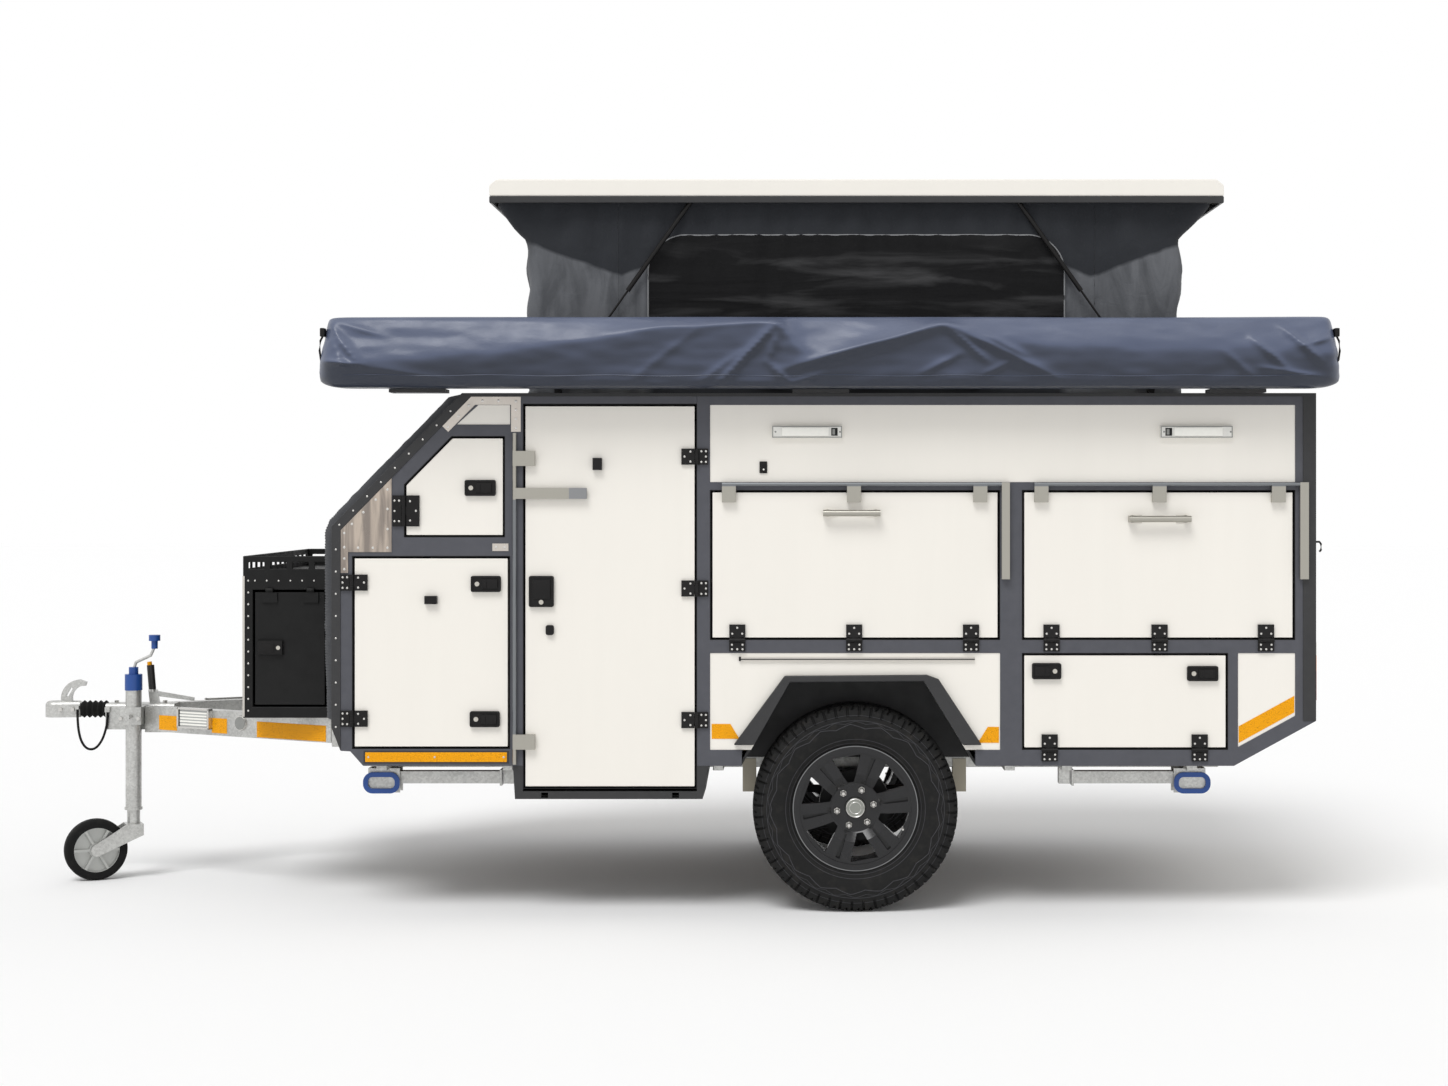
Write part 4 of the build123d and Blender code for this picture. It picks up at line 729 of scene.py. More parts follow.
def gauze():
    """Fly mesh: nearly black, with slack diagonal folds, and painted highlights on them that are fainter near
    the top.
    """
    shade = Shade("gauze", "#19191A", 0.7, specular_ior_level=0.1)
    lean = {"Vector": shade.coords, "Rotation": (0, 0.42, 0), "Scale": (0.35, 1, 2.6)}
    leaning = shade.node("Mapping", lean).outputs[0]
    wrinkles = {"Vector": leaning, "Scale": 5.0, "Detail": 6.0, "Distortion": 0.5}
    folds = shade.node("TexNoise", wrinkles).outputs["Fac"]
    # painted highlight: the folds are drawn paler (#414142), fainter near the window's top
    low = shade.span(shade.axis("Z"), up(2.46), up(2.52), 1.0, 0.25)
    lit = shade.times(shade.span(folds, 0.5, 0.68), low)
    shade.to("Base Color", shade.mix(lit, shade.shades(shade.noise(60.0), 0.8, 1.2), linear("#414142")))
    shade.relief(folds, 0.5, 0.02)
    return shade.grain(900.0, 0.3)


gauze_cloth = gauze().mat
piping_cloth = plastic("piping", "#8B8C8E", 0.55).mat
canvas_windows(canvas_walls())

# Rolled awning in its bag: a flat roll whose front is creased lengthwise, drawn in folds towards the ends
bag_x = (1.304, 5.060)
bag_low, bag_high = 1.962, 2.232
bag_back, bag_deep = -0.953, 0.226
bag_inset, bag_reach = 0.006, 0.022   # front set back between the folds, and their reach past the roll
fold_gain = 1.4
bag_step = 0.016
bag_top, bag_foot = 0.168, 0.158     # depth of the roll at its upper and lower front edges
bag_front, bag_other = 40, (5, 5, 6)  # points up the front, and along the top, back and bottom
# lengthwise crease: x, height, softness
bag_crease = [(1.30, 2.062, 0.010), (1.52, 2.050, 0.012), (1.90, 2.085, 0.012), (2.25, 2.135, 0.008),
              (2.60, 2.188, 0.004), (2.98, 2.206, 0.003), (3.10, 2.090, 0.012), (3.36, 2.130, 0.010),
              (3.59, 2.196, 0.004), (3.80, 2.150, 0.008), (4.05, 2.118, 0.016), (4.50, 2.112, 0.020),
              (4.86, 2.098, 0.014), (5.06, 2.095, 0.012)]
# folds on the front: x and height at both ends, width, how far each stands out
bag_folds = [(3.02, 2.035, 3.59, 2.196, 0.022, 0.024), (2.995, 2.208, 2.770, 1.975, 0.014, 0.020),
             (3.005, 2.20, 2.955, 2.06, 0.010, 0.014), (2.955, 2.06, 3.04, 1.975, 0.011, 0.012),
             (2.86, 2.10, 2.70, 1.98, 0.012, 0.008), (3.16, 2.02, 3.02, 1.97, 0.013, 0.010),
             (2.70, 2.18, 2.45, 1.99, 0.014, 0.006), (3.60, 2.20, 4.02, 2.00, 0.016, 0.016),
             (3.61, 2.185, 3.76, 2.06, 0.011, 0.014), (3.74, 2.165, 3.90, 2.08, 0.010, 0.011),
             (3.66, 2.09, 3.52, 2.02, 0.011, 0.010), (3.84, 2.06, 3.74, 2.01, 0.010, 0.008),
             (4.72, 2.15, 4.86, 2.03, 0.012, 0.015), (4.84, 2.185, 4.98, 2.06, 0.012, 0.018),
             (4.76, 2.04, 4.98, 2.005, 0.010, 0.012), (4.92, 2.12, 5.03, 2.15, 0.010, 0.012),
             (4.62, 2.10, 4.74, 2.00, 0.011, 0.008), (1.335, 2.20, 1.47, 2.045, 0.012, 0.018),
             (1.325, 2.06, 1.47, 2.044, 0.010, 0.015), (1.50, 2.04, 1.80, 1.99, 0.014, 0.006),
             (1.36, 2.21, 1.56, 2.15, 0.013, 0.008), (1.345, 2.15, 1.41, 2.03, 0.009, 0.010)]


def crease(x):
    """Height and softness of the crease at x."""
    for (x0, h0, s0), (x1, h1, s1) in zip(bag_crease, bag_crease[1:]):
        if x <= x1 or x1 == bag_crease[-1][0]:
            share = min(1.0, max(0.0, (x - x0) / (x1 - x0)))
            ease = share * share * (3 - 2 * share)
            return h0 + (h1 - h0) * ease, s0 + (s1 - s0) * ease


def bag_section(x, end):
    """Depth and height round the roll's section at x, from its top front edge down the front."""
    top = bag_high - 0.004 + 0.005 * fold((x, 0, 0), 5.0, 1.3) - 0.012 * math.exp(-end / 0.03)
    low = bag_low + 0.030 * math.exp(-end / 0.035) + 0.0015
    middle, soft = crease(x)
    points = []
    for i in range(bag_front + 1):
        height = top + (low - top) * i / bag_front
        upper = bag_deep - (bag_deep - bag_top) * (height - middle) / (top - middle)
        lower = bag_deep - (bag_deep - bag_foot) * (middle - height) / (middle - low)
        depth = -soft * math.log(math.exp(-upper / soft) + math.exp(-lower / soft))
        rounded = 0.016 * math.exp(-(top - height) / 0.010) + 0.022 * math.exp(-(height - low) / 0.012)
        depth -= rounded
        fade = min(1.0, (top - height) / 0.03, (height - low) / 0.03)
        for x0, h0, x1, h1, width, proud in bag_folds:
            run = Vector((x1 - x0, h1 - h0))
            off = Vector((x - x0, height - h0))
            along = max(0.0, min(1.0, off.dot(run) / run.length_squared))
            away = (off - run * along).length
            swell = fold_gain * proud * math.exp(-(away / width) ** 1.3)
            depth += fade * swell * math.sin(math.pi * (0.1 + 0.8 * along))
        slack = 0.004 * fold((x * 1.5, height * 3, 0), 11.0, 3.0)
        slack += 0.003 * fold((x * 2, height * 6, 0), 17.0, 5.0)
        points.append((min(depth + fade * slack - bag_inset, bag_deep + bag_reach), height))
    first, last = points[0], points[-1]
    over, behind, under = bag_other
    points += [(last[0] * (1 - i / under), last[1] + 0.002 * i / under) for i in range(1, under + 1)]
    points += [(0.0, low + 0.002 + (top - low - 0.006) * i / behind) for i in range(1, behind + 1)]
    points += [(first[0] * i / over, top - 0.004 * (1 - i / over)) for i in range(1, over)]
    return points


def bag_row(share):
    """Ring of the roll's points at a share of its length."""
    x = bag_x[0] + (bag_x[1] - bag_x[0]) * share
    end = min(share, 1 - share) * (bag_x[1] - bag_x[0])
    pinch = 1 - 0.40 * math.exp(-(end / 0.022) ** 1.2)
    row = []
    for depth, height in bag_section(x, end):
        lean = 0.050 * (0.55 - (height - bag_low) / (bag_high - bag_low)) * math.exp(-end / 0.05)
        wrinkle = 0.006 * math.exp(-end / 0.03) * fold((depth * 8, height * 9, share * 4), 23.0, 2.5)
        row.append((x + (lean if share > 0.5 else -lean) + wrinkle, bag_back - depth * pinch, up(height)))
    return row


def awning_bag():
    stations = round((bag_x[1] - bag_x[0]) / bag_step)
    columns = [bag_row(k / stations) for k in range(stations + 1)]
    mesh = grid_mesh("awning_cover", [list(row) for row in zip(*columns)], True)
    shell = bmesh.new()
    shell.from_mesh(mesh)
    shell.verts.ensure_lookup_table()
    wide, tall = stations + 1, len(columns[0])
    rims = [[shell.verts[i * wide + end] for i in range(tall)] for end in (0, stations)]
    for rim in rims:
        hub = shell.verts.new(sum((v.co for v in rim), Vector()) / tall)
        for i, vertex in enumerate(rim):
            shell.faces.new((vertex, rim[(i + 1) % tall], hub))
    bmesh.ops.recalc_face_normals(shell, faces=shell.faces)
    shell.to_mesh(mesh)
    shell.free()
    obj = place("awning_cover", mesh, finish["awning_cloth"])
    pinned = [v.index for v in mesh.vertices if v.co.y > bag_back - 0.02]
    settle(obj, pinned, 0.012, pressure=0.3, gravity=0.4, cap=0.006, bend=2.0)
    for vertex in mesh.vertices:
        vertex.co.z = max(vertex.co.z, up(bag_low) + 0.0015)
        vertex.co.y = min(vertex.co.y, bag_back)
    smooth = obj.modifiers.new("smooth", "SUBSURF")
    smooth.levels = smooth.render_levels = 1
    apply(obj)
    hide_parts("awning_bag")
    return surface(obj.data)


hem_high = 2.006
strap_y = -1.085
strap_line = [(0.0, 2.155), (0.010, 2.135), (0.013, 2.10), (0.008, 2.065), (-0.004, 2.05)]  # out, height


def awning_details(tree):
    """Hem seam along the front, and a buckle and a strap loop at each end."""
    hem, straps, line = Bits(), Bits(), []
    for k in range(151):
        line.append(laid(tree, 1.40 + 3.58 * k / 150, hem_high + 0.002 * math.sin(k * 0.35), -1, 0.0004))
    hem.tube(line, 0.0016, 6)
    hem.made("awning_hem", finish["awning_cloth"])
    for x, way in ((1.316, -1), (5.048, 1)):
        straps.slab((x - 0.009, x + 0.009), (strap_y - 0.020, strap_y + 0.020), (2.150, 2.182), 0.004)
        straps.tube([(x + way * out, strap_y, up(height)) for out, height in strap_line], 0.004, 8)
    straps.made("awning_straps", finish["black_fittings"])


awning_details(awning_bag())

# Padded cover over the front wall and slope: a thick quilt, gathered finely below the slope
cover_line = [(1.300, 0.712), (1.286, 0.730), (1.277, 1.000), (1.276, 1.410), (1.282, 1.445), (1.294, 1.474),
              (1.460, 1.646), (1.676, 1.866), (1.745, 1.938), (1.803, 1.951)]
cover_base = [(1.3185, 0.712), (1.3185, 0.730), (1.3185, 1.000), (1.3185, 1.410), (1.319, 1.4375),
              (1.3225, 1.4545), (1.490, 1.6255), (1.700, 1.8402), (1.750, 1.8915), (1.807, 1.9495)]
cover_half = 0.904
cover_rib = 0.0105           # gathers on the upright part and round the bend
cover_smooth = 0.62          # share of the length after which the cloth lies smooth


def along_line(line, share):
    """Point at a share of a line's length."""
    runs = [math.dist(a, b) for a, b in zip(line, line[1:])]
    left = share * sum(runs)
    for (a, b), run in zip(zip(line, line[1:]), runs):
        if left <= run or b == line[-1]:
            return Vector(a).lerp(Vector(b), min(1.0, left / run))
        left -= run


def front_cover():
    length = sum(math.dist(a, b) for a, b in zip(cover_line, cover_line[1:]))
    steps = round(length / cover_rib * 5)
    widths = 56
    outer, inner = [], []
    for i in range(steps + 1):
        share = i / steps
        high, low = along_line(cover_line, share), along_line(cover_base, share)
        top_row, low_row = [], []
        for k in range(widths + 1):
            y = -cover_half + 2 * cover_half * k / widths
            rim = min(1.0, (cover_half - abs(y)) / 0.02) ** 0.5
            ends = min(1.0, share / 0.012, (1 - share) / 0.012) ** 0.5
            drift = 0.25 * fold((y * 1.2, share * 9, 0), 2.0, 3.0)
            rib = abs(math.sin(math.pi * (share * length / cover_rib + 3 * drift)))
            gathered = max(0.0, min(1.0, (cover_smooth - share) / 0.1))
            rib = 1 + (rib ** 0.7 - 1) * gathered
            swell = 0.08 * fold((y * 1.5, share * 14, 1), 4.0, 3.0)
            plump = (0.84 + 0.10 * rib + swell) * rim * ends
            at = low.lerp(high, 0.12 + 0.88 * plump)
            top_row.append((at.x, y, up(at.y)))
            low_row.append((low.x, y, up(low.y)))
        outer.append(top_row)
        inner.append(low_row)
    rows = outer + inner[::-1]
    mesh = grid_mesh("front_quilt", rows, True)
    shell = bmesh.new()
    shell.from_mesh(mesh)
    bmesh.ops.holes_fill(shell, edges=[e for e in shell.edges if e.is_boundary], sides=0)
    bmesh.ops.recalc_face_normals(shell, faces=shell.faces)
    shell.to_mesh(mesh)
    shell.free()
    obj = place("front_quilt", mesh, cover_cloth)
    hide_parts("front_cover")


cover_cloth = cloth("cover_cloth", "#47484B", 240.0, 0.3, 0.85, sheen_weight=0.1).vary(0.2, 18.0).mat
front_cover()


# Tyres: a revolved section with tread blocks, shoulder lugs and sidewall ribs
axle = (3.281, 0.388)        # x and height of the axle
wheel_out = 0.7975           # tyre's middle, out from the centre line
tread_pitches = 52
pitch_samples = 16
groove_deep = 0.010
# half section: out from the middle, radius
tyre_half = [(0.0, 0.388), (0.035, 0.388), (0.070, 0.387), (0.096, 0.3855), (0.112, 0.380), (0.1215, 0.371),
             (0.1275, 0.358), (0.1305, 0.340), (0.1318, 0.318), (0.1305, 0.296), (0.126, 0.274),
             (0.119, 0.256), (0.1135, 0.2465), (0.1075, 0.2415), (0.100, 0.2392), (0.0975, 0.232),
             (0.0975, 0.2215)]
section_samples = 46
# raised lines on the sidewalls: radius, swing, pitch, width
sidewall_lines = [(0.333, 0.0, 1.0, 0.0016), (0.352, 0.0, 1.0, 0.0012), (0.312, 0.016, 1.5, 0.0020),
                  (0.326, 0.010, 1.0, 0.0013), (0.262, 0.0, 1.0, 0.0015), (0.247, 0.0, 1.0, 0.0012)]


def groove(across, around):
    """1 in the tread's grooves: across is out from the middle, around counts pitches."""
    ways = []
    for at, wave in ((0.026, 0.006), (0.070, 0.005)):
        line = at + wave * math.sin(2 * math.pi * around)
        ways.append(1 - abs(abs(across) - line) / 0.0055)
    row = 0 if abs(across) < 0.026 else (1 if abs(across) < 0.070 else 2)
    offset = (0.0, 0.5, 0.2)[row] + 0.35 * across / 0.07 + (0.5 if across > 0 and row else 0.0)
    cut = abs((around + offset) % 1.0 - 0.5)
    ways.append((cut - 0.40) / 0.05)
    if row == 2:
        ways.append(((abs((2 * around + 2 * offset) % 1.0 - 0.5)) - 0.47) / 0.02 * 0.6)
    return max(0.0, min(1.0, max(ways)))


def tyre_point(share, around):
    """Point of the near tyre: share runs across the section, around counts pitches."""
    signed = 2 * share - 1
    at = along_line(tyre_half, abs(signed))
    out, radius = math.copysign(at.x, signed), at.y
    turn = 2 * math.pi * around / tread_pitches
    if radius > 0.340:
        cut = groove(out, around) if radius > 0.374 else 0.0
        if 0.345 < radius <= 0.386 and abs(out) > 0.094:
            beat = (around + (0.7 if out > 0 else 0.2)) % 1.0
            lug = max(0.0, min(1.0, (abs(beat - 0.5) - 0.40) / 0.03))
            cut = max(cut, lug * min(1.0, (radius - 0.345) / 0.008))
        radius -= groove_deep * cut * (1.0 if abs(out) < 0.11 else 0.55)
        out -= math.copysign(groove_deep * 0.75 * cut, out) if abs(out) > 0.11 else 0.0
    ring = 0.0015 if 0.262 < radius < 0.266 or 0.328 < radius < 0.331 else 0.0
    out += math.copysign(ring, out) if abs(out) > 0.118 else 0.0
    return Vector((radius * math.sin(turn), out, radius * math.cos(turn)))


def tyre_finish():
    """Rubber with raised rings and zigzag lines on its sidewalls, drawn paler as a painted highlight."""
    shade = rubber("tyre_rubber", "#212121", "#504C46", 0.2)
    radius = shade.distance((axle[0], 0, up(axle[1])), (0, 1, 0))
    turn = shade.math("ARCTAN2", shade.less(shade.axis("Z"), up(axle[1])),
                      shade.less(shade.axis("X"), axle[0]))
    beat = shade.times(turn, tread_pitches / (2 * math.pi))
    marks = None
    for middle, swing, pitch, width in sidewall_lines:
        wave = shade.times(shade.less(shade.math("PINGPONG", beat, pitch), pitch / 2), swing / pitch)
        off = shade.math("ABSOLUTE", shade.less(shade.less(radius, middle), wave))
        line = shade.span(off, width * 0.5, width * 1.3, 1.0, 0.0)
        marks = line if marks is None else shade.math("MAXIMUM", marks, line)
    side = shade.times(marks, shade.math("LESS_THAN", radius, 0.362))
    shade.relief(side, 0.9, 0.004)
    # painted highlight: the raised lines are drawn paler, towards #5A5A5E
    return shade.patch(shade.times(side, 0.55), "#5A5A5E", 0.6, 0.0)


def tyre(name, node, body, hand):
    rows = []
    for i in range(tread_pitches * pitch_samples):
        around = i / pitch_samples
        row = []
        for k in range(section_samples * 2 + 1):
            point = tyre_point(k / (section_samples * 2), around)
            row.append((axle[0] + point.x, hand * (wheel_out + point.y), up(axle[1]) + point.z))
        rows.append(row)
    obj = place(name, grid_mesh(name, rows, True), finish["tyre_rubber"], body, sharp=40)
    if hand > 0:
        obj.data.flip_normals()
    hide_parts(node)


keep("tyre_rubber", tyre_finish())
tyre("tyre_near_tread", "tyre_near", "wheel_near", -1)
tyre("tyre_far_tread", "tyre_far", "wheel_far", 1)


# Small hardware. Places are x and height in metres; the door side faces -Y
def oblong(x, h):
    """Outline of a rectangle between two x and two heights."""
    return [(x[0], h[0]), (x[1], h[0]), (x[1], h[1]), (x[0], h[1])]


door_side = Vector((0, -1, 0))
hinge_top = -0.958           # outer face of the hinges
doors = {
    "entrance_door": oblong((2.036, 2.687), (0.468, 1.909)),
    "front_door": oblong((1.397, 1.988), (0.617, 1.339)),
    "front_hatch": [(1.591, 1.409), (1.969, 1.409), (1.969, 1.788), (1.769, 1.788), (1.591, 1.607)],
    "galley_hatch": oblong((2.736, 3.821), (1.025, 1.586)),
    "rear_hatch": oblong((3.903, 4.925), (1.025, 1.586)),
    "rear_locker": oblong((3.903, 4.674), (0.614, 0.976)),
}
# hinges: door, upright or not, axis x or height, places along it, door's side of it, half their length
hinges = [
    ("entrance_door", True, 2.687, (0.726, 1.218, 1.711), -1, 0.030),
    ("front_door", True, 1.397, (0.731, 1.240), 1, 0.030),
    ("front_hatch", True, 1.591, (1.508,), 1, 0.058),
    ("galley_hatch", False, 1.025, (2.838, 3.275, 3.712), 1, 0.030),
    ("rear_hatch", False, 1.025, (4.013, 4.417, 4.815), 1, 0.030),
    ("rear_locker", False, 0.614, (4.006, 4.567), 1, 0.030),
]
# paddle latches: door, x range, height range, side of the key
latches = [
    ("front_door", (1.842, 1.954), (1.205, 1.265), -1), ("front_door", (1.838, 1.950), (0.700, 0.759), -1),
    ("front_hatch", (1.819, 1.935), (1.564, 1.624), -1), ("rear_locker", (3.940, 4.049), (0.879, 0.939), 1),
    ("rear_locker", (4.520, 4.636), (0.872, 0.928), -1), ("entrance_door", (2.059, 2.152), (1.149, 1.265), 0),
]
latch_face = face_y - 0.014


def inset(outline, amount):
    """Outline moved inwards; its corners turn one way, against the clock."""
    moved = []
    count = len(outline)
    for i in range(count):
        a, b, c = (Vector(outline[j % count]) for j in (i - 1, i, i + 1))
        one, two = (b - a).normalized(), (c - b).normalized()
        first, second = Vector((-one.y, one.x)), Vector((-two.y, two.x))
        moved.append(tuple(b + (first + second) * (amount / (1 + first.dot(second)))))
    return moved


def frame_ring(bits, outer, inner, y, depth):
    """Flat ring between two outlines of equal count, drawn out towards -Y from y."""
    edges = [(line, at) for line in (outer, inner) for at in (y, y - depth)]
    loops = [[bits.bm.verts.new((x, at, up(h))) for x, h in line] for line, at in edges]
    count = len(outer)
    for i in range(count):
        j = (i + 1) % count
        for a, b in ((0, 1), (1, 3), (3, 2), (2, 0)):
            bits.bm.faces.new((loops[a][i], loops[b][i], loops[b][j], loops[a][j]))


def seals():
    """Rubber seals in the openings, clear of the doors."""
    bits = Bits()
    for outline in doors.values():
        frame_ring(bits, outline, inset(outline, 0.0035), -0.915, 0.034)
    bits.made("door_seals", finish["rubber"])


def screw(bits, x, height, y, radius=0.0042, high=0.0022):
    bits.dome((x, y, up(height)), door_side, radius, high, 10)


# screws of a hinge: out from its axis, share of its half length along it
frame_screws = ((0.017, 0.66), (0.017, -0.66), (0.034, 0.66), (0.034, -0.66), (0.034, 0.0))
door_screws = ((0.024, 0.62), (0.024, -0.62), (0.046, 0.0))


def hinge_screws():
    """Bright screws: on the frame's halves one piece, on each door another."""
    fixed, moving = Bits(), {name: Bits() for name in doors}
    for door, upright, axis, places, way, half in hinges:
        for along in places:
            spots = [(fixed, -way * out, share * half) for out, share in frame_screws]
            spots += [(moving[door], way * out, share * half) for out, share in door_screws]
            for bits, out, shift in spots:
                x, height = (axis + out, along + shift) if upright else (along + shift, axis + out)
                screw(bits, x, height, hinge_top)
    fixed.made("hinge_screws", bright)
    for door, bits in moving.items():
        bits.made(door + "_screws", bright, door)


def latch_faces():
    """Paddle latches: raised rim, hinged flap over a finger hollow, and a key cylinder."""
    for number, (door, x, h, way) in enumerate(latches):
        black_bits, bright_bits = Bits(), Bits()
        outer = oblong((x[0] + 0.002, x[1] - 0.002), (h[0] + 0.002, h[1] - 0.002))
        frame_ring(black_bits, outer, inset(outer, 0.005), latch_face, 0.003)
        if way == 0:
            black_bits.slab((x[0] + 0.016, x[1] - 0.012), (latch_face - 0.006, latch_face),
                            (h[0] + 0.030, h[1] - 0.014), 0.003)
            key = ((x[0] + x[1]) / 2, h[0] + 0.018)
        else:
            start = x[0] if way < 0 else x[1]
            for near, far, low, proud in ((0.042, 0.101, 0.012, 0.006), (0.046, 0.060, 0.016, 0.0085)):
                ends = sorted((start - way * near, start - way * far))
                black_bits.slab(ends, (latch_face - proud, latch_face), (h[0] + low, h[1] - low), 0.002)
            key = (start - way * 0.024, (h[0] + h[1]) / 2)
        bright_bits.pin(key[0], key[1], (latch_face + 0.001, latch_face - 0.004), 0.0095, 0.0088)
        bright_bits.slab((key[0] - 0.0012, key[0] + 0.0012), (latch_face - 0.0046, latch_face - 0.0035),
                         (key[1] - 0.005, key[1] + 0.005))
        black_bits.made(f"latch_flap_{number}", finish["black_fittings"], door)
        bright_bits.made(f"latch_key_{number}", stainless, door)


def rivets():
    """Rivets of the gable plates and the front trims, the same on both sides."""
    spots = [(1.3685, 1.290), (1.3685, 1.330), (1.3685, 1.372), (1.420, 1.370), (1.475, 1.370),
             (1.530, 1.370), (1.530, 1.440), (1.530, 1.515), (1.530, 1.588), (1.486, 1.550),
             (1.440, 1.503), (1.397, 1.459), (1.3685, 1.425)]
    spots += [(1.756, 1.822), (1.795, 1.862), (1.834, 1.902), (1.885, 1.920), (1.945, 1.920), (2.010, 1.918),
              (2.010, 1.886), (2.010, 1.852), (2.010, 1.818), (1.936, 1.372), (1.968, 1.372)]
    trims = [(1.337, 0.70 + 0.083 * i) for i in range(9)]
    slope = 499 / 488
    trims += [(1.350 + 0.052 * i, 1.450 + (0.030 + 0.052 * i) * slope - 0.0245) for i in range(9)]
    bits = Bits()
    for hand in (-1, 1):
        for places, y, radius in ((spots, 0.953, 0.0052), (trims, 0.954, 0.0040)):
            for x, height in places:
                bits.dome((x, hand * y, up(height)), (0, hand, 0), radius, 0.0024, 10)
    bits.made("rivets", bright)


seals()
hinge_screws()
latch_faces()
rivets()


# Reflective tape, lamps and reflectors
tape_thick = 0.0012
tube_lean = math.atan2(0.555 - 0.080, 1.258 - 0.400)


def on_tube(x, height, out=0.0):
    """Point on the outer face of the door-side drawbar tube."""
    y = -(0.080 + (x - 0.400) * math.tan(tube_lean) + 0.030 / math.cos(tube_lean))
    return Vector((x - out * math.sin(tube_lean), y - out * math.cos(tube_lean), up(height)))


def tube_plate(bits, x, h, out, bevel=0.0):
    """Plate on the drawbar tube's face, between two x and two heights, the same on both sides."""
    for hand in (1, -1):
        low, high = on_tube(x[0], h[0]), on_tube(x[1], h[1])
        middle = (low + high) / 2 + (on_tube(x[0], 0, out / 2) - on_tube(x[0], 0))
        half = Vector((math.dist(low.xy, high.xy) / 2, out / 2, (high.z - low.z) / 2))
        middle.y *= hand
        bits.block(middle - half, middle + half, bevel, Matrix.Rotation(-tube_lean * hand, 4, "Z"))


def tapes():
    """Amber tape on the drawbar and along the body's lower edge, on both sides."""
    bits = Bits()
    drawbar = [((0.455, 0.540), (0.609, 0.668)), ((0.705, 0.775), (0.610, 0.670)),
               ((0.913, 1.222), (0.604, 0.667))]
    for x, h in drawbar:
        tube_plate(bits, x, h, tape_thick)
    flat = [oblong((1.446, 1.976), (0.569, 0.605))]
    panel = [[(2.742, 0.655), (2.846, 0.655), (2.812, 0.711), (2.742, 0.711)],
             [(3.738, 0.640), (3.817, 0.640), (3.817, 0.700), (3.775, 0.700)],
             [(4.714, 0.640), (4.922, 0.754), (4.922, 0.816), (4.714, 0.702)]]
    for outlines, y in ((flat, frame_y), (panel, face_y)):
        for outline in outlines:
            bits.prism(outline, y, tape_thick)
            bits.prism(outline, -y + tape_thick, tape_thick)
    bits.made("amber_tapes", amber)
    backing = Bits()
    backing.prism(oblong((1.440, 1.984), (0.563, 0.611)), frame_y + 0.0005, 0.0011)
    backing.made("tape_backing", finish["dark_trim"])
    screws = Bits()
    for x in (1.458, 1.706, 1.964):
        screw(screws, x, 0.587, frame_y - 0.001)
    screws.made("tape_screws", bright)


# lights over the hatches: ends, and shares of their length that the lens and the switch take up
lights = [((2.968, 3.230), (0.14, 0.81), (0.845, 0.935)), ((4.419, 4.689), (0.19, 0.86), (0.068, 0.16))]


def lamp_details():
    """Chrome frame of the drawbar lamps, round reflectors, and lenses and switches of the two lights."""
    chrome, reflector, lens, rims, black_bits = Bits(), Bits(), Bits(), Bits(), Bits()
    bars = [((0.558, 0.708), (0.624, 0.631)), ((0.558, 0.708), (0.699, 0.706)),
            ((0.558, 0.565), (0.624, 0.706)), ((0.701, 0.708), (0.624, 0.706))]
    for x, h in bars:
        tube_plate(chrome, x, h, 0.024, 0.001)
    for k in range(5):
        low = 0.636 + 0.012 * k
        tube_plate(lens, (0.570, 0.696), (low, low + 0.007), 0.0195 + 0.001 * (k % 2), 0.001)
    for hand in (1, -1):
        for radius, out, bits in ((0.031, 0.007, chrome), (0.0275, 0.009, reflector)):
            centre, end = on_tube(0.840, 0.656), on_tube(0.840, 0.656, out)
            centre.y, end.y = centre.y * hand, end.y * hand
            bits.rod(centre, end, radius, radius * 0.94, 28)
    for x, lit, switch in lights:
        outer = oblong((x[0] + 0.001, x[1] - 0.001), (1.782, 1.825))
        frame_ring(rims, outer, inset(outer, 0.003), face_y - 0.018, 0.0015)
        a, b = (x[0] + share * (x[1] - x[0]) for share in lit)
        lens.slab((a, b), (face_y - 0.0225, face_y - 0.017), (1.788, 1.820), 0.002)
        a, b = (x[0] + share * (x[1] - x[0]) for share in switch)
        black_bits.slab((a, b), (face_y - 0.0195, face_y - 0.017), (1.789, 1.818), 0.0006)
        rims.slab((a + 0.004, (a + b) / 2 + 0.002), (face_y - 0.0215, face_y - 0.019), (1.793, 1.814), 0.0006)
        for at in (x[0] + 0.013, x[1] - 0.008):
            screw(rims, at, 1.8035, face_y - 0.018, 0.0035, 0.0012)
    chrome.made("lamp_frames", bright)
    reflector.made("round_reflectors", finish["lamp_grey"])
    lens.made("light_lenses", finish["lamp_clear"])
    rims.made("light_rims", finish["lamp_grey"])
    black_bits.made("light_switches", finish["black_fittings"])


finish["lamp_grey"] = plastic("reflector_grey", "#8E8F8C", 0.2).mat
finish["lamp_clear"] = Shade("lamp_clear", "#F4F3EC", 0.12, specular_ior_level=0.6).vary(0.05, 60.0).mat
tapes()
lamp_details()


# Wheels: nuts, cap rings and valves
stud_radius, valve_radius = 0.06985, 0.196


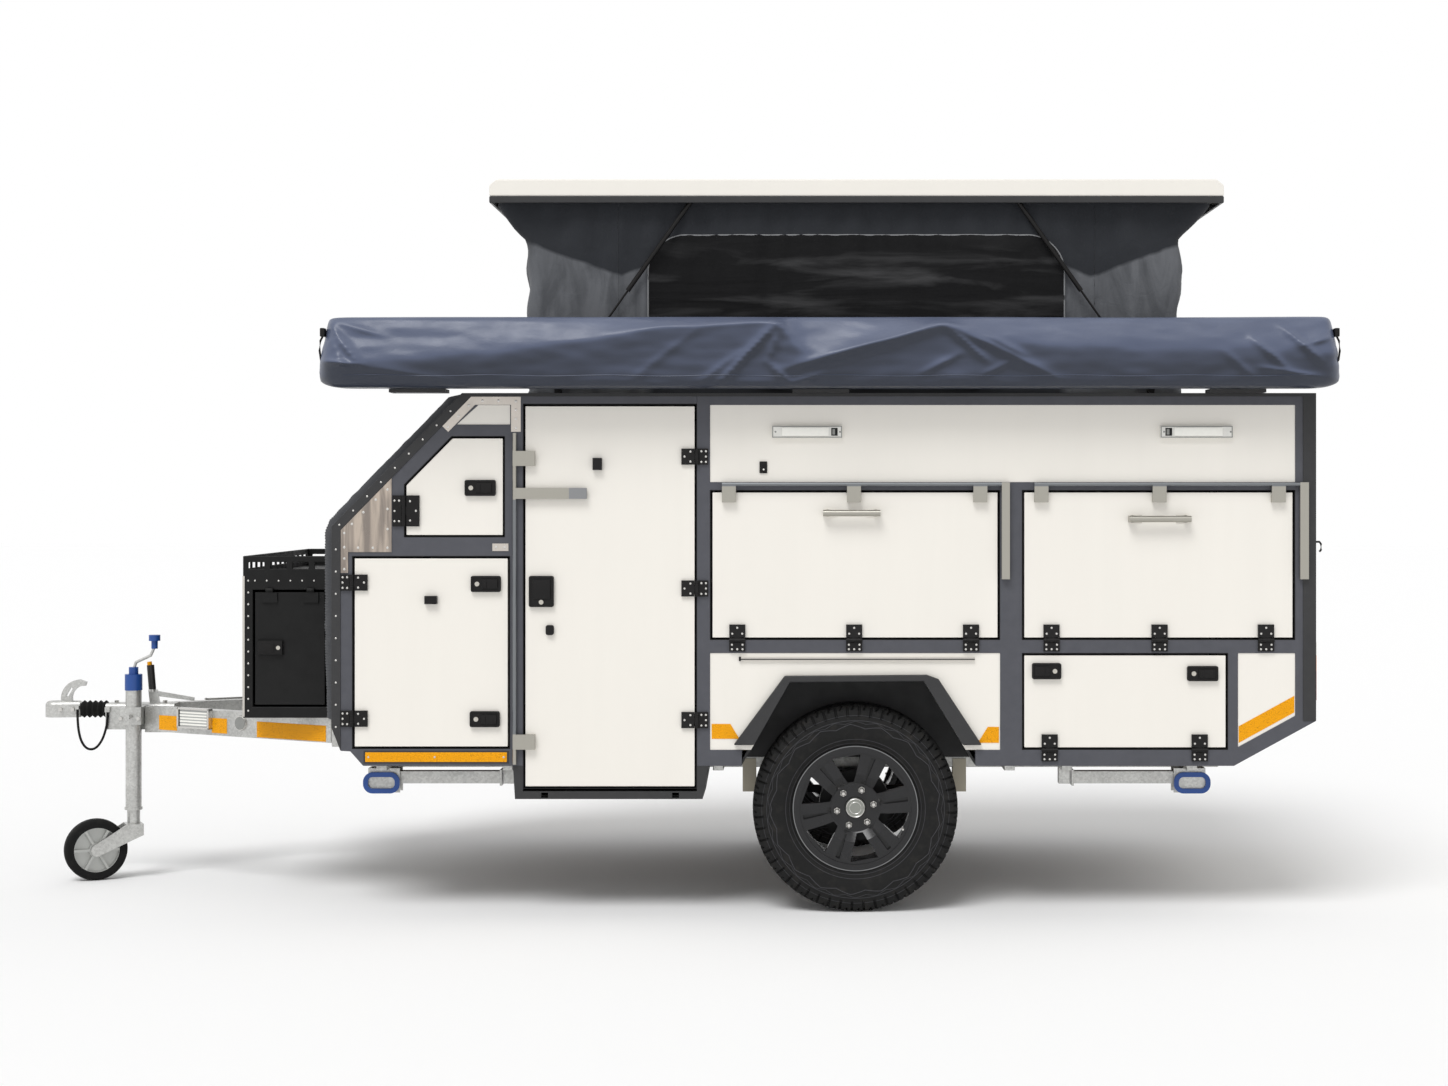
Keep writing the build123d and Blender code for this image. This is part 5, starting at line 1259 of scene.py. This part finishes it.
def wheel_hardware(name, body, hand):
    nuts = Bits()
    for sixth in range(6):
        turn = math.radians(10 + 60 * sixth)
        x, height = axle[0] + stud_radius * math.cos(turn), axle[1] + stud_radius * math.sin(turn)
        start, end = hand * (wheel_out + 0.0635), hand * (wheel_out + 0.080)
        nuts.pin(x, height, (start, end), 0.0125, sides=6)
        nuts.pin(x, height, (end, hand * (wheel_out + 0.092)), 0.0105, 0.0062, 12)
    face = wheel_out + 0.0905
    for radius, depth in ((0.034, 0.0016), (0.022, 0.0012)):
        nuts.tube([(axle[0] + radius * math.cos(a), hand * face, up(axle[1]) + radius * math.sin(a))
                   for a in (2 * math.pi * k / 40 for k in range(40))], depth, 6, True)
    turn = math.radians(-24)
    for k in range(2):
        out = wheel_out + 0.070 + 0.016 * k
        x, height = axle[0] + valve_radius * math.cos(turn), axle[1] + valve_radius * math.sin(turn)
        nuts.pin(x, height, (hand * out, hand * (out + 0.018)), 0.0048 - 0.0012 * k, sides=10)
    nuts.made(name + "_nuts", bright, body)


wheel_hardware("near", "wheel_near", -1)
wheel_hardware("far", "wheel_far", 1)


# Nose box, door side and hitch
def nose_details():
    """Bright strip and rivets on the nose box, and the latch of its door."""
    strip, bolts = Bits(), Bits()
    for y in (-0.600, 0.600):
        hand = math.copysign(1, y)
        strip.slab((0.9035, 0.912), sorted((y, y + hand * 0.002)), (0.705, 1.252), 0.0006)
        for i in range(12):
            bolts.dome((0.926, y, up(0.728 + 0.046 * i)), (0, hand, 0), 0.0040, 0.0022, 10)
        for i in range(7):
            bolts.dome((0.952 + 0.046 * i, y, up(1.234)), (0, hand, 0), 0.0036, 0.0020, 10)
    strip.made("nose_strip", finish["bare_aluminium"])
    bolts.made("nose_rivets", bright)
    latch, key = Bits(), Bits()
    latch.slab((0.966, 1.062), (-0.617, -0.611), (0.948, 1.000), 0.003)
    latch.slab((0.976, 1.030), (-0.6195, -0.616), (0.957, 0.991), 0.002)
    key.pin(1.046, 0.974, (-0.616, -0.6195), 0.0085, 0.008)
    latch.made("nose_latch", finish["black_fittings"], "nose_door")
    key.made("nose_key", stainless, "nose_door")


def side_details():
    """Slotted rail under the galley hatch, a switch, base plates of the grab handles and a rear hook."""
    rail, slot = Bits(), Bits()
    rail.slab((2.846, 3.726), (face_y - 0.010, face_y + 0.001), (0.9475, 0.9615), 0.001)
    # painted shade: the rail's slot is a black strip on its face; the short block at its left end is its
    # black end cap
    slot.slab((2.846, 3.726), (face_y - 0.0108, face_y - 0.009), (0.9515, 0.9555))
    slot.slab((2.844, 2.852), (face_y - 0.0112, face_y), (0.9465, 0.9625), 0.001)
    rail.made("galley_rail", finish["bare_aluminium"])
    slot.made("rail_slot_shade_and_cap", finish["black_fittings"])
    switch, lamp = Bits(), Bits()
    switch.slab((2.921, 2.950), (face_y - 0.006, face_y + 0.001), (1.649, 1.693), 0.002)
    switch.slab((2.929, 2.942), (face_y - 0.009, face_y - 0.005), (1.672, 1.688), 0.0015)
    lamp.dome((2.9365, face_y - 0.006, up(1.663)), door_side, 0.0035, 0.0015)
    switch.made("switch", finish["black_fittings"])
    lamp.made("switch_lamp", finish["lamp_clear"])
    plates = (("galley_hatch", (3.159, 3.372), 1.500, finish["white_panel"]),
              ("rear_hatch", (4.300, 4.531), 1.478, stainless))
    for door, x, height, material in plates:
        pads, dots = Bits(), Bits()
        for at, way in ((x[0], 1), (x[1], -1)):
            ends = sorted((at + way * 0.012, at + way * 0.052))
            pads.slab(ends, (face_y - 0.003, face_y + 0.001), (height - 0.015, height + 0.015), 0.0014)
            pads.pin(at + way * 0.0145, height, (face_y + 0.001, face_y - 0.003), 0.0145, sides=20)
            screw(dots, at + way * 0.012, height, face_y - 0.003, 0.0038, 0.0015)
        pads.made(door + "_pads", material, door)
        dots.made(door + "_pad_screws", finish["black_fittings"], door)
    hook = Bits()
    hook.tube([(5.003, -0.930, up(1.392)), (5.020, -0.930, up(1.392)), (5.026, -0.930, up(1.384)),
               (5.026, -0.930, up(1.362)), (5.020, -0.930, up(1.355))], 0.004, 8)
    hook.made("rear_hook", finish["black_fittings"])


def hitch_details():
    """Bolts of the coupling and the clamp, and the handbrake's button."""
    bolts, button = Bits(), Bits()
    for x in (0.020, 0.070):
        for hand in (-1, 1):
            bolts.pin(x, 0.682, (hand * 0.026, hand * 0.050), 0.0085, sides=6)
    for x, y in ((0.240, 0.0), (0.440, 0.0)):
        bolts.rod((x, y, up(0.700)), (x, y, up(0.716)), 0.0095, sides=6)
    for x, h in ((0.300, 0.655), (0.372, 0.655)):
        bolts.pin(x, h, (-0.148, -0.160), 0.008, sides=6)
    button.rod((0.3765, 0.0, up(0.858)), (0.3745, 0.0, up(0.876)), 0.0105, 0.0095)
    bolts.made("hitch_bolts", bright, "trailer", "galvanised")
    button.made("brake_button", amber)


nose_details()
side_details()
hitch_details()


# Finishes of the CAD pieces: slots of the record, with other colours in parts of some of them
steel_grey, zinc, black = "#7C7F82", "#A9A69D", "#1C1B1B"


def lock_zones(lever):
    """Hatch fittings: black hinges below, steel lock bar, zinc hooks, lever and grab handle above."""
    high = {"z": (up(1.20), up(1.70))}
    bar = {"z": (up(1.600), up(1.616)), "x": (0.0, lever)}
    return [(high, zinc, 0.34, 0.85), (bar, steel_grey, 0.38, 0.8)]


blue = "#1F4A92"
node_zones = {
    "galley_hatch_fittings": lock_zones(3.826),
    "rear_hatch_fittings": lock_zones(4.940),
    "entrance_door_fittings": [
        ({"x": (1.99, 2.09), "z": (up(0.55), up(1.80))}, zinc, 0.34, 0.85),
        ({"x": (1.99, 2.0135), "z": (up(0.674), up(1.552))}, steel_grey, 0.38, 0.8),
        ({"x": (1.99, 2.29), "z": (up(1.550), up(1.597))}, zinc, 0.34, 0.85),
        ({"x": (2.21, 2.29), "z": (up(1.550), up(1.597))}, "#8B8C8E", 0.5, 0.0),
        ({"x": (2.05, 2.16), "z": (up(1.03), up(1.27))}, black, 0.42, 0.0)],
    "axle_assembly": [
        ({"x": (2.84, 2.905), "z": (up(0.415), up(0.60))}, "#A39D8F", 0.45, 0.6),
        ({"x": (3.66, 3.72), "z": (up(0.415), up(0.60))}, "#A39D8F", 0.45, 0.6)],
    "jockey_column": [
        ({"z": (up(0.767), up(0.8615))}, blue, 0.4, 0.0),
        ({"z": (up(0.9365), up(1.01))}, blue, 0.4, 0.0)],
    "drawbar_levers": [({"x": (0.36, 0.41), "z": (up(0.762), up(0.90))}, black, 0.5, 0.0)],
    "steady_drives": [({"y": (-0.90, -0.8366)}, blue, 0.4, 0.0), ({"y": (0.8366, 0.90)}, blue, 0.4, 0.0)],
    "lamps": [
        ({"x": (0.5, 0.8)}, "#B4B5B4", 0.15, 0.0),
        ({"x": (5.0, 5.1), "z": (up(0.78), up(0.90))}, "#8E1712", 0.2, 0.0),
        ({"x": (5.0, 5.1), "z": (up(0.90), up(0.96))}, "#D8780F", 0.2, 0.0)],
}
finish["cover_cloth"] = cover_cloth
# edges rounded by a small bevel: node, width
rounded = {"lid_shell": 0.010, "lid_trim": 0.004, "nose_box": 0.003, "nose_door": 0.003,
           "near_front_frame": 0.002, "near_rear_frame": 0.002, "far_frame": 0.002, "arch_flares": 0.005,
           "corner_trims": 0.0015, "entrance_door": 0.002, "front_door": 0.002, "front_hatch": 0.002,
           "galley_hatch": 0.002, "rear_hatch": 0.002, "rear_locker": 0.002, "drawbar": 0.006,
           "chassis_frame": 0.004}


# what a node with zones is made of elsewhere, by slot
zone_base = {"galvanised": galvanised, "blue_plastic": galvanised,
             "black_coat": lambda name: coat(name, "#161616", 0.5, 380.0),
             "black_fittings": lambda name: plastic(name, black, 0.42),
             "lamp": lambda name: plastic(name, "#E6E5E0", 0.22)}


def wheel_finish(name, hand):
    """Gloss black alloy with a bright lip and a silver cap."""
    shade = Shade(name, "#18181A", 0.2, specular_ior_level=0.42)
    shade.vary(0.12, 30.0).uneven(0.16, 0.28, 20.0).grain(900.0, 0.06)
    far = shade.distance((axle[0], 0, up(axle[1])), (0, 1, 0))
    lip = shade.math("GREATER_THAN", far, 0.2325)
    cap = shade.math("LESS_THAN", far, 0.0385)
    out = shade.times(shade.axis("Y"), hand)
    proud = shade.math("GREATER_THAN", out, wheel_out + 0.0705)
    shade.patch(shade.times(lip, shade.math("GREATER_THAN", out, wheel_out)), "#7E7F80", 0.3, 0.85)
    return shade.patch(shade.times(cap, proud), "#90928C", 0.3, 0.85)


def jockey_finish():
    """Solid rubber tyre on a ribbed zinc hub."""
    shade = rubber("jockey_wheel_finish", "#1A1A1A", "#4E4A44", 0.15)
    yaw = math.radians(25)
    castor, castor_trail = (0.339, -0.105), 0.15
    hub = (castor[0] - castor_trail * math.cos(yaw), castor[1] - castor_trail * math.sin(yaw), up(0.124))
    far = shade.distance(hub, (-math.sin(yaw), math.cos(yaw), 0))
    return shade.patch(shade.math("LESS_THAN", far, 0.0895), "#B4B5B2", 0.45, 0.7)


def gusset_finish():
    """Bare aluminium, streaked by its brushing, with a painted reflection of brown and cream streaks on the
    plate; the upper bracket is brighter.
    """
    shade = steel("gusset_finish", "#C9C2BA", 0.34, (6, 1, 0.6))
    # painted reflection: brown and cream streaks on the plate, x 1.3 to 1.6
    streak = shade.span(shade.noise(9.0, 6.0, (3.0, 1, 0.35), 1.2), 0.38, 0.64)
    plate = shade.within(x=(1.3, 1.6))
    painted_reflection = shade.mix(streak, linear("#8C837C"), linear("#BFB2A5"))
    brushed = shade.shades(shade.noise(160.0, 3.0, (6, 1, 0.6)), 0.9, 1.1)
    return shade.to("Base Color", shade.mix(plate, brushed, painted_reflection))


own_finish = {"gusset_plates": gusset_finish(), "rim_near": wheel_finish("rim_near_finish", -1),
              "rim_far": wheel_finish("rim_far_finish", 1), "jockey_wheel": jockey_finish()}


def dress_nodes():
    for part in frame["record"]["subparts"]:
        name, slot = part["node"], part["material_slot"]
        obj = nodes[name]
        if name in own_finish:
            material = own_finish[name].mat
        elif name in node_zones:
            material = zone_base[slot](name + "_finish").zones(node_zones[name]).mat
        else:
            material = finish[slot]
        obj.data.materials.clear()
        obj.data.materials.append(material)
        if name in rounded:
            weld = obj.modifiers.new("weld", "WELD")
            weld.merge_threshold = 0.0001
            bevel = obj.modifiers.new("edges", "BEVEL")
            bevel.width = rounded[name]
            bevel.segments = 2
            bevel.limit_method = "ANGLE"
            bevel.angle_limit = math.radians(40)
            bevel.harden_normals = True


dress_nodes()
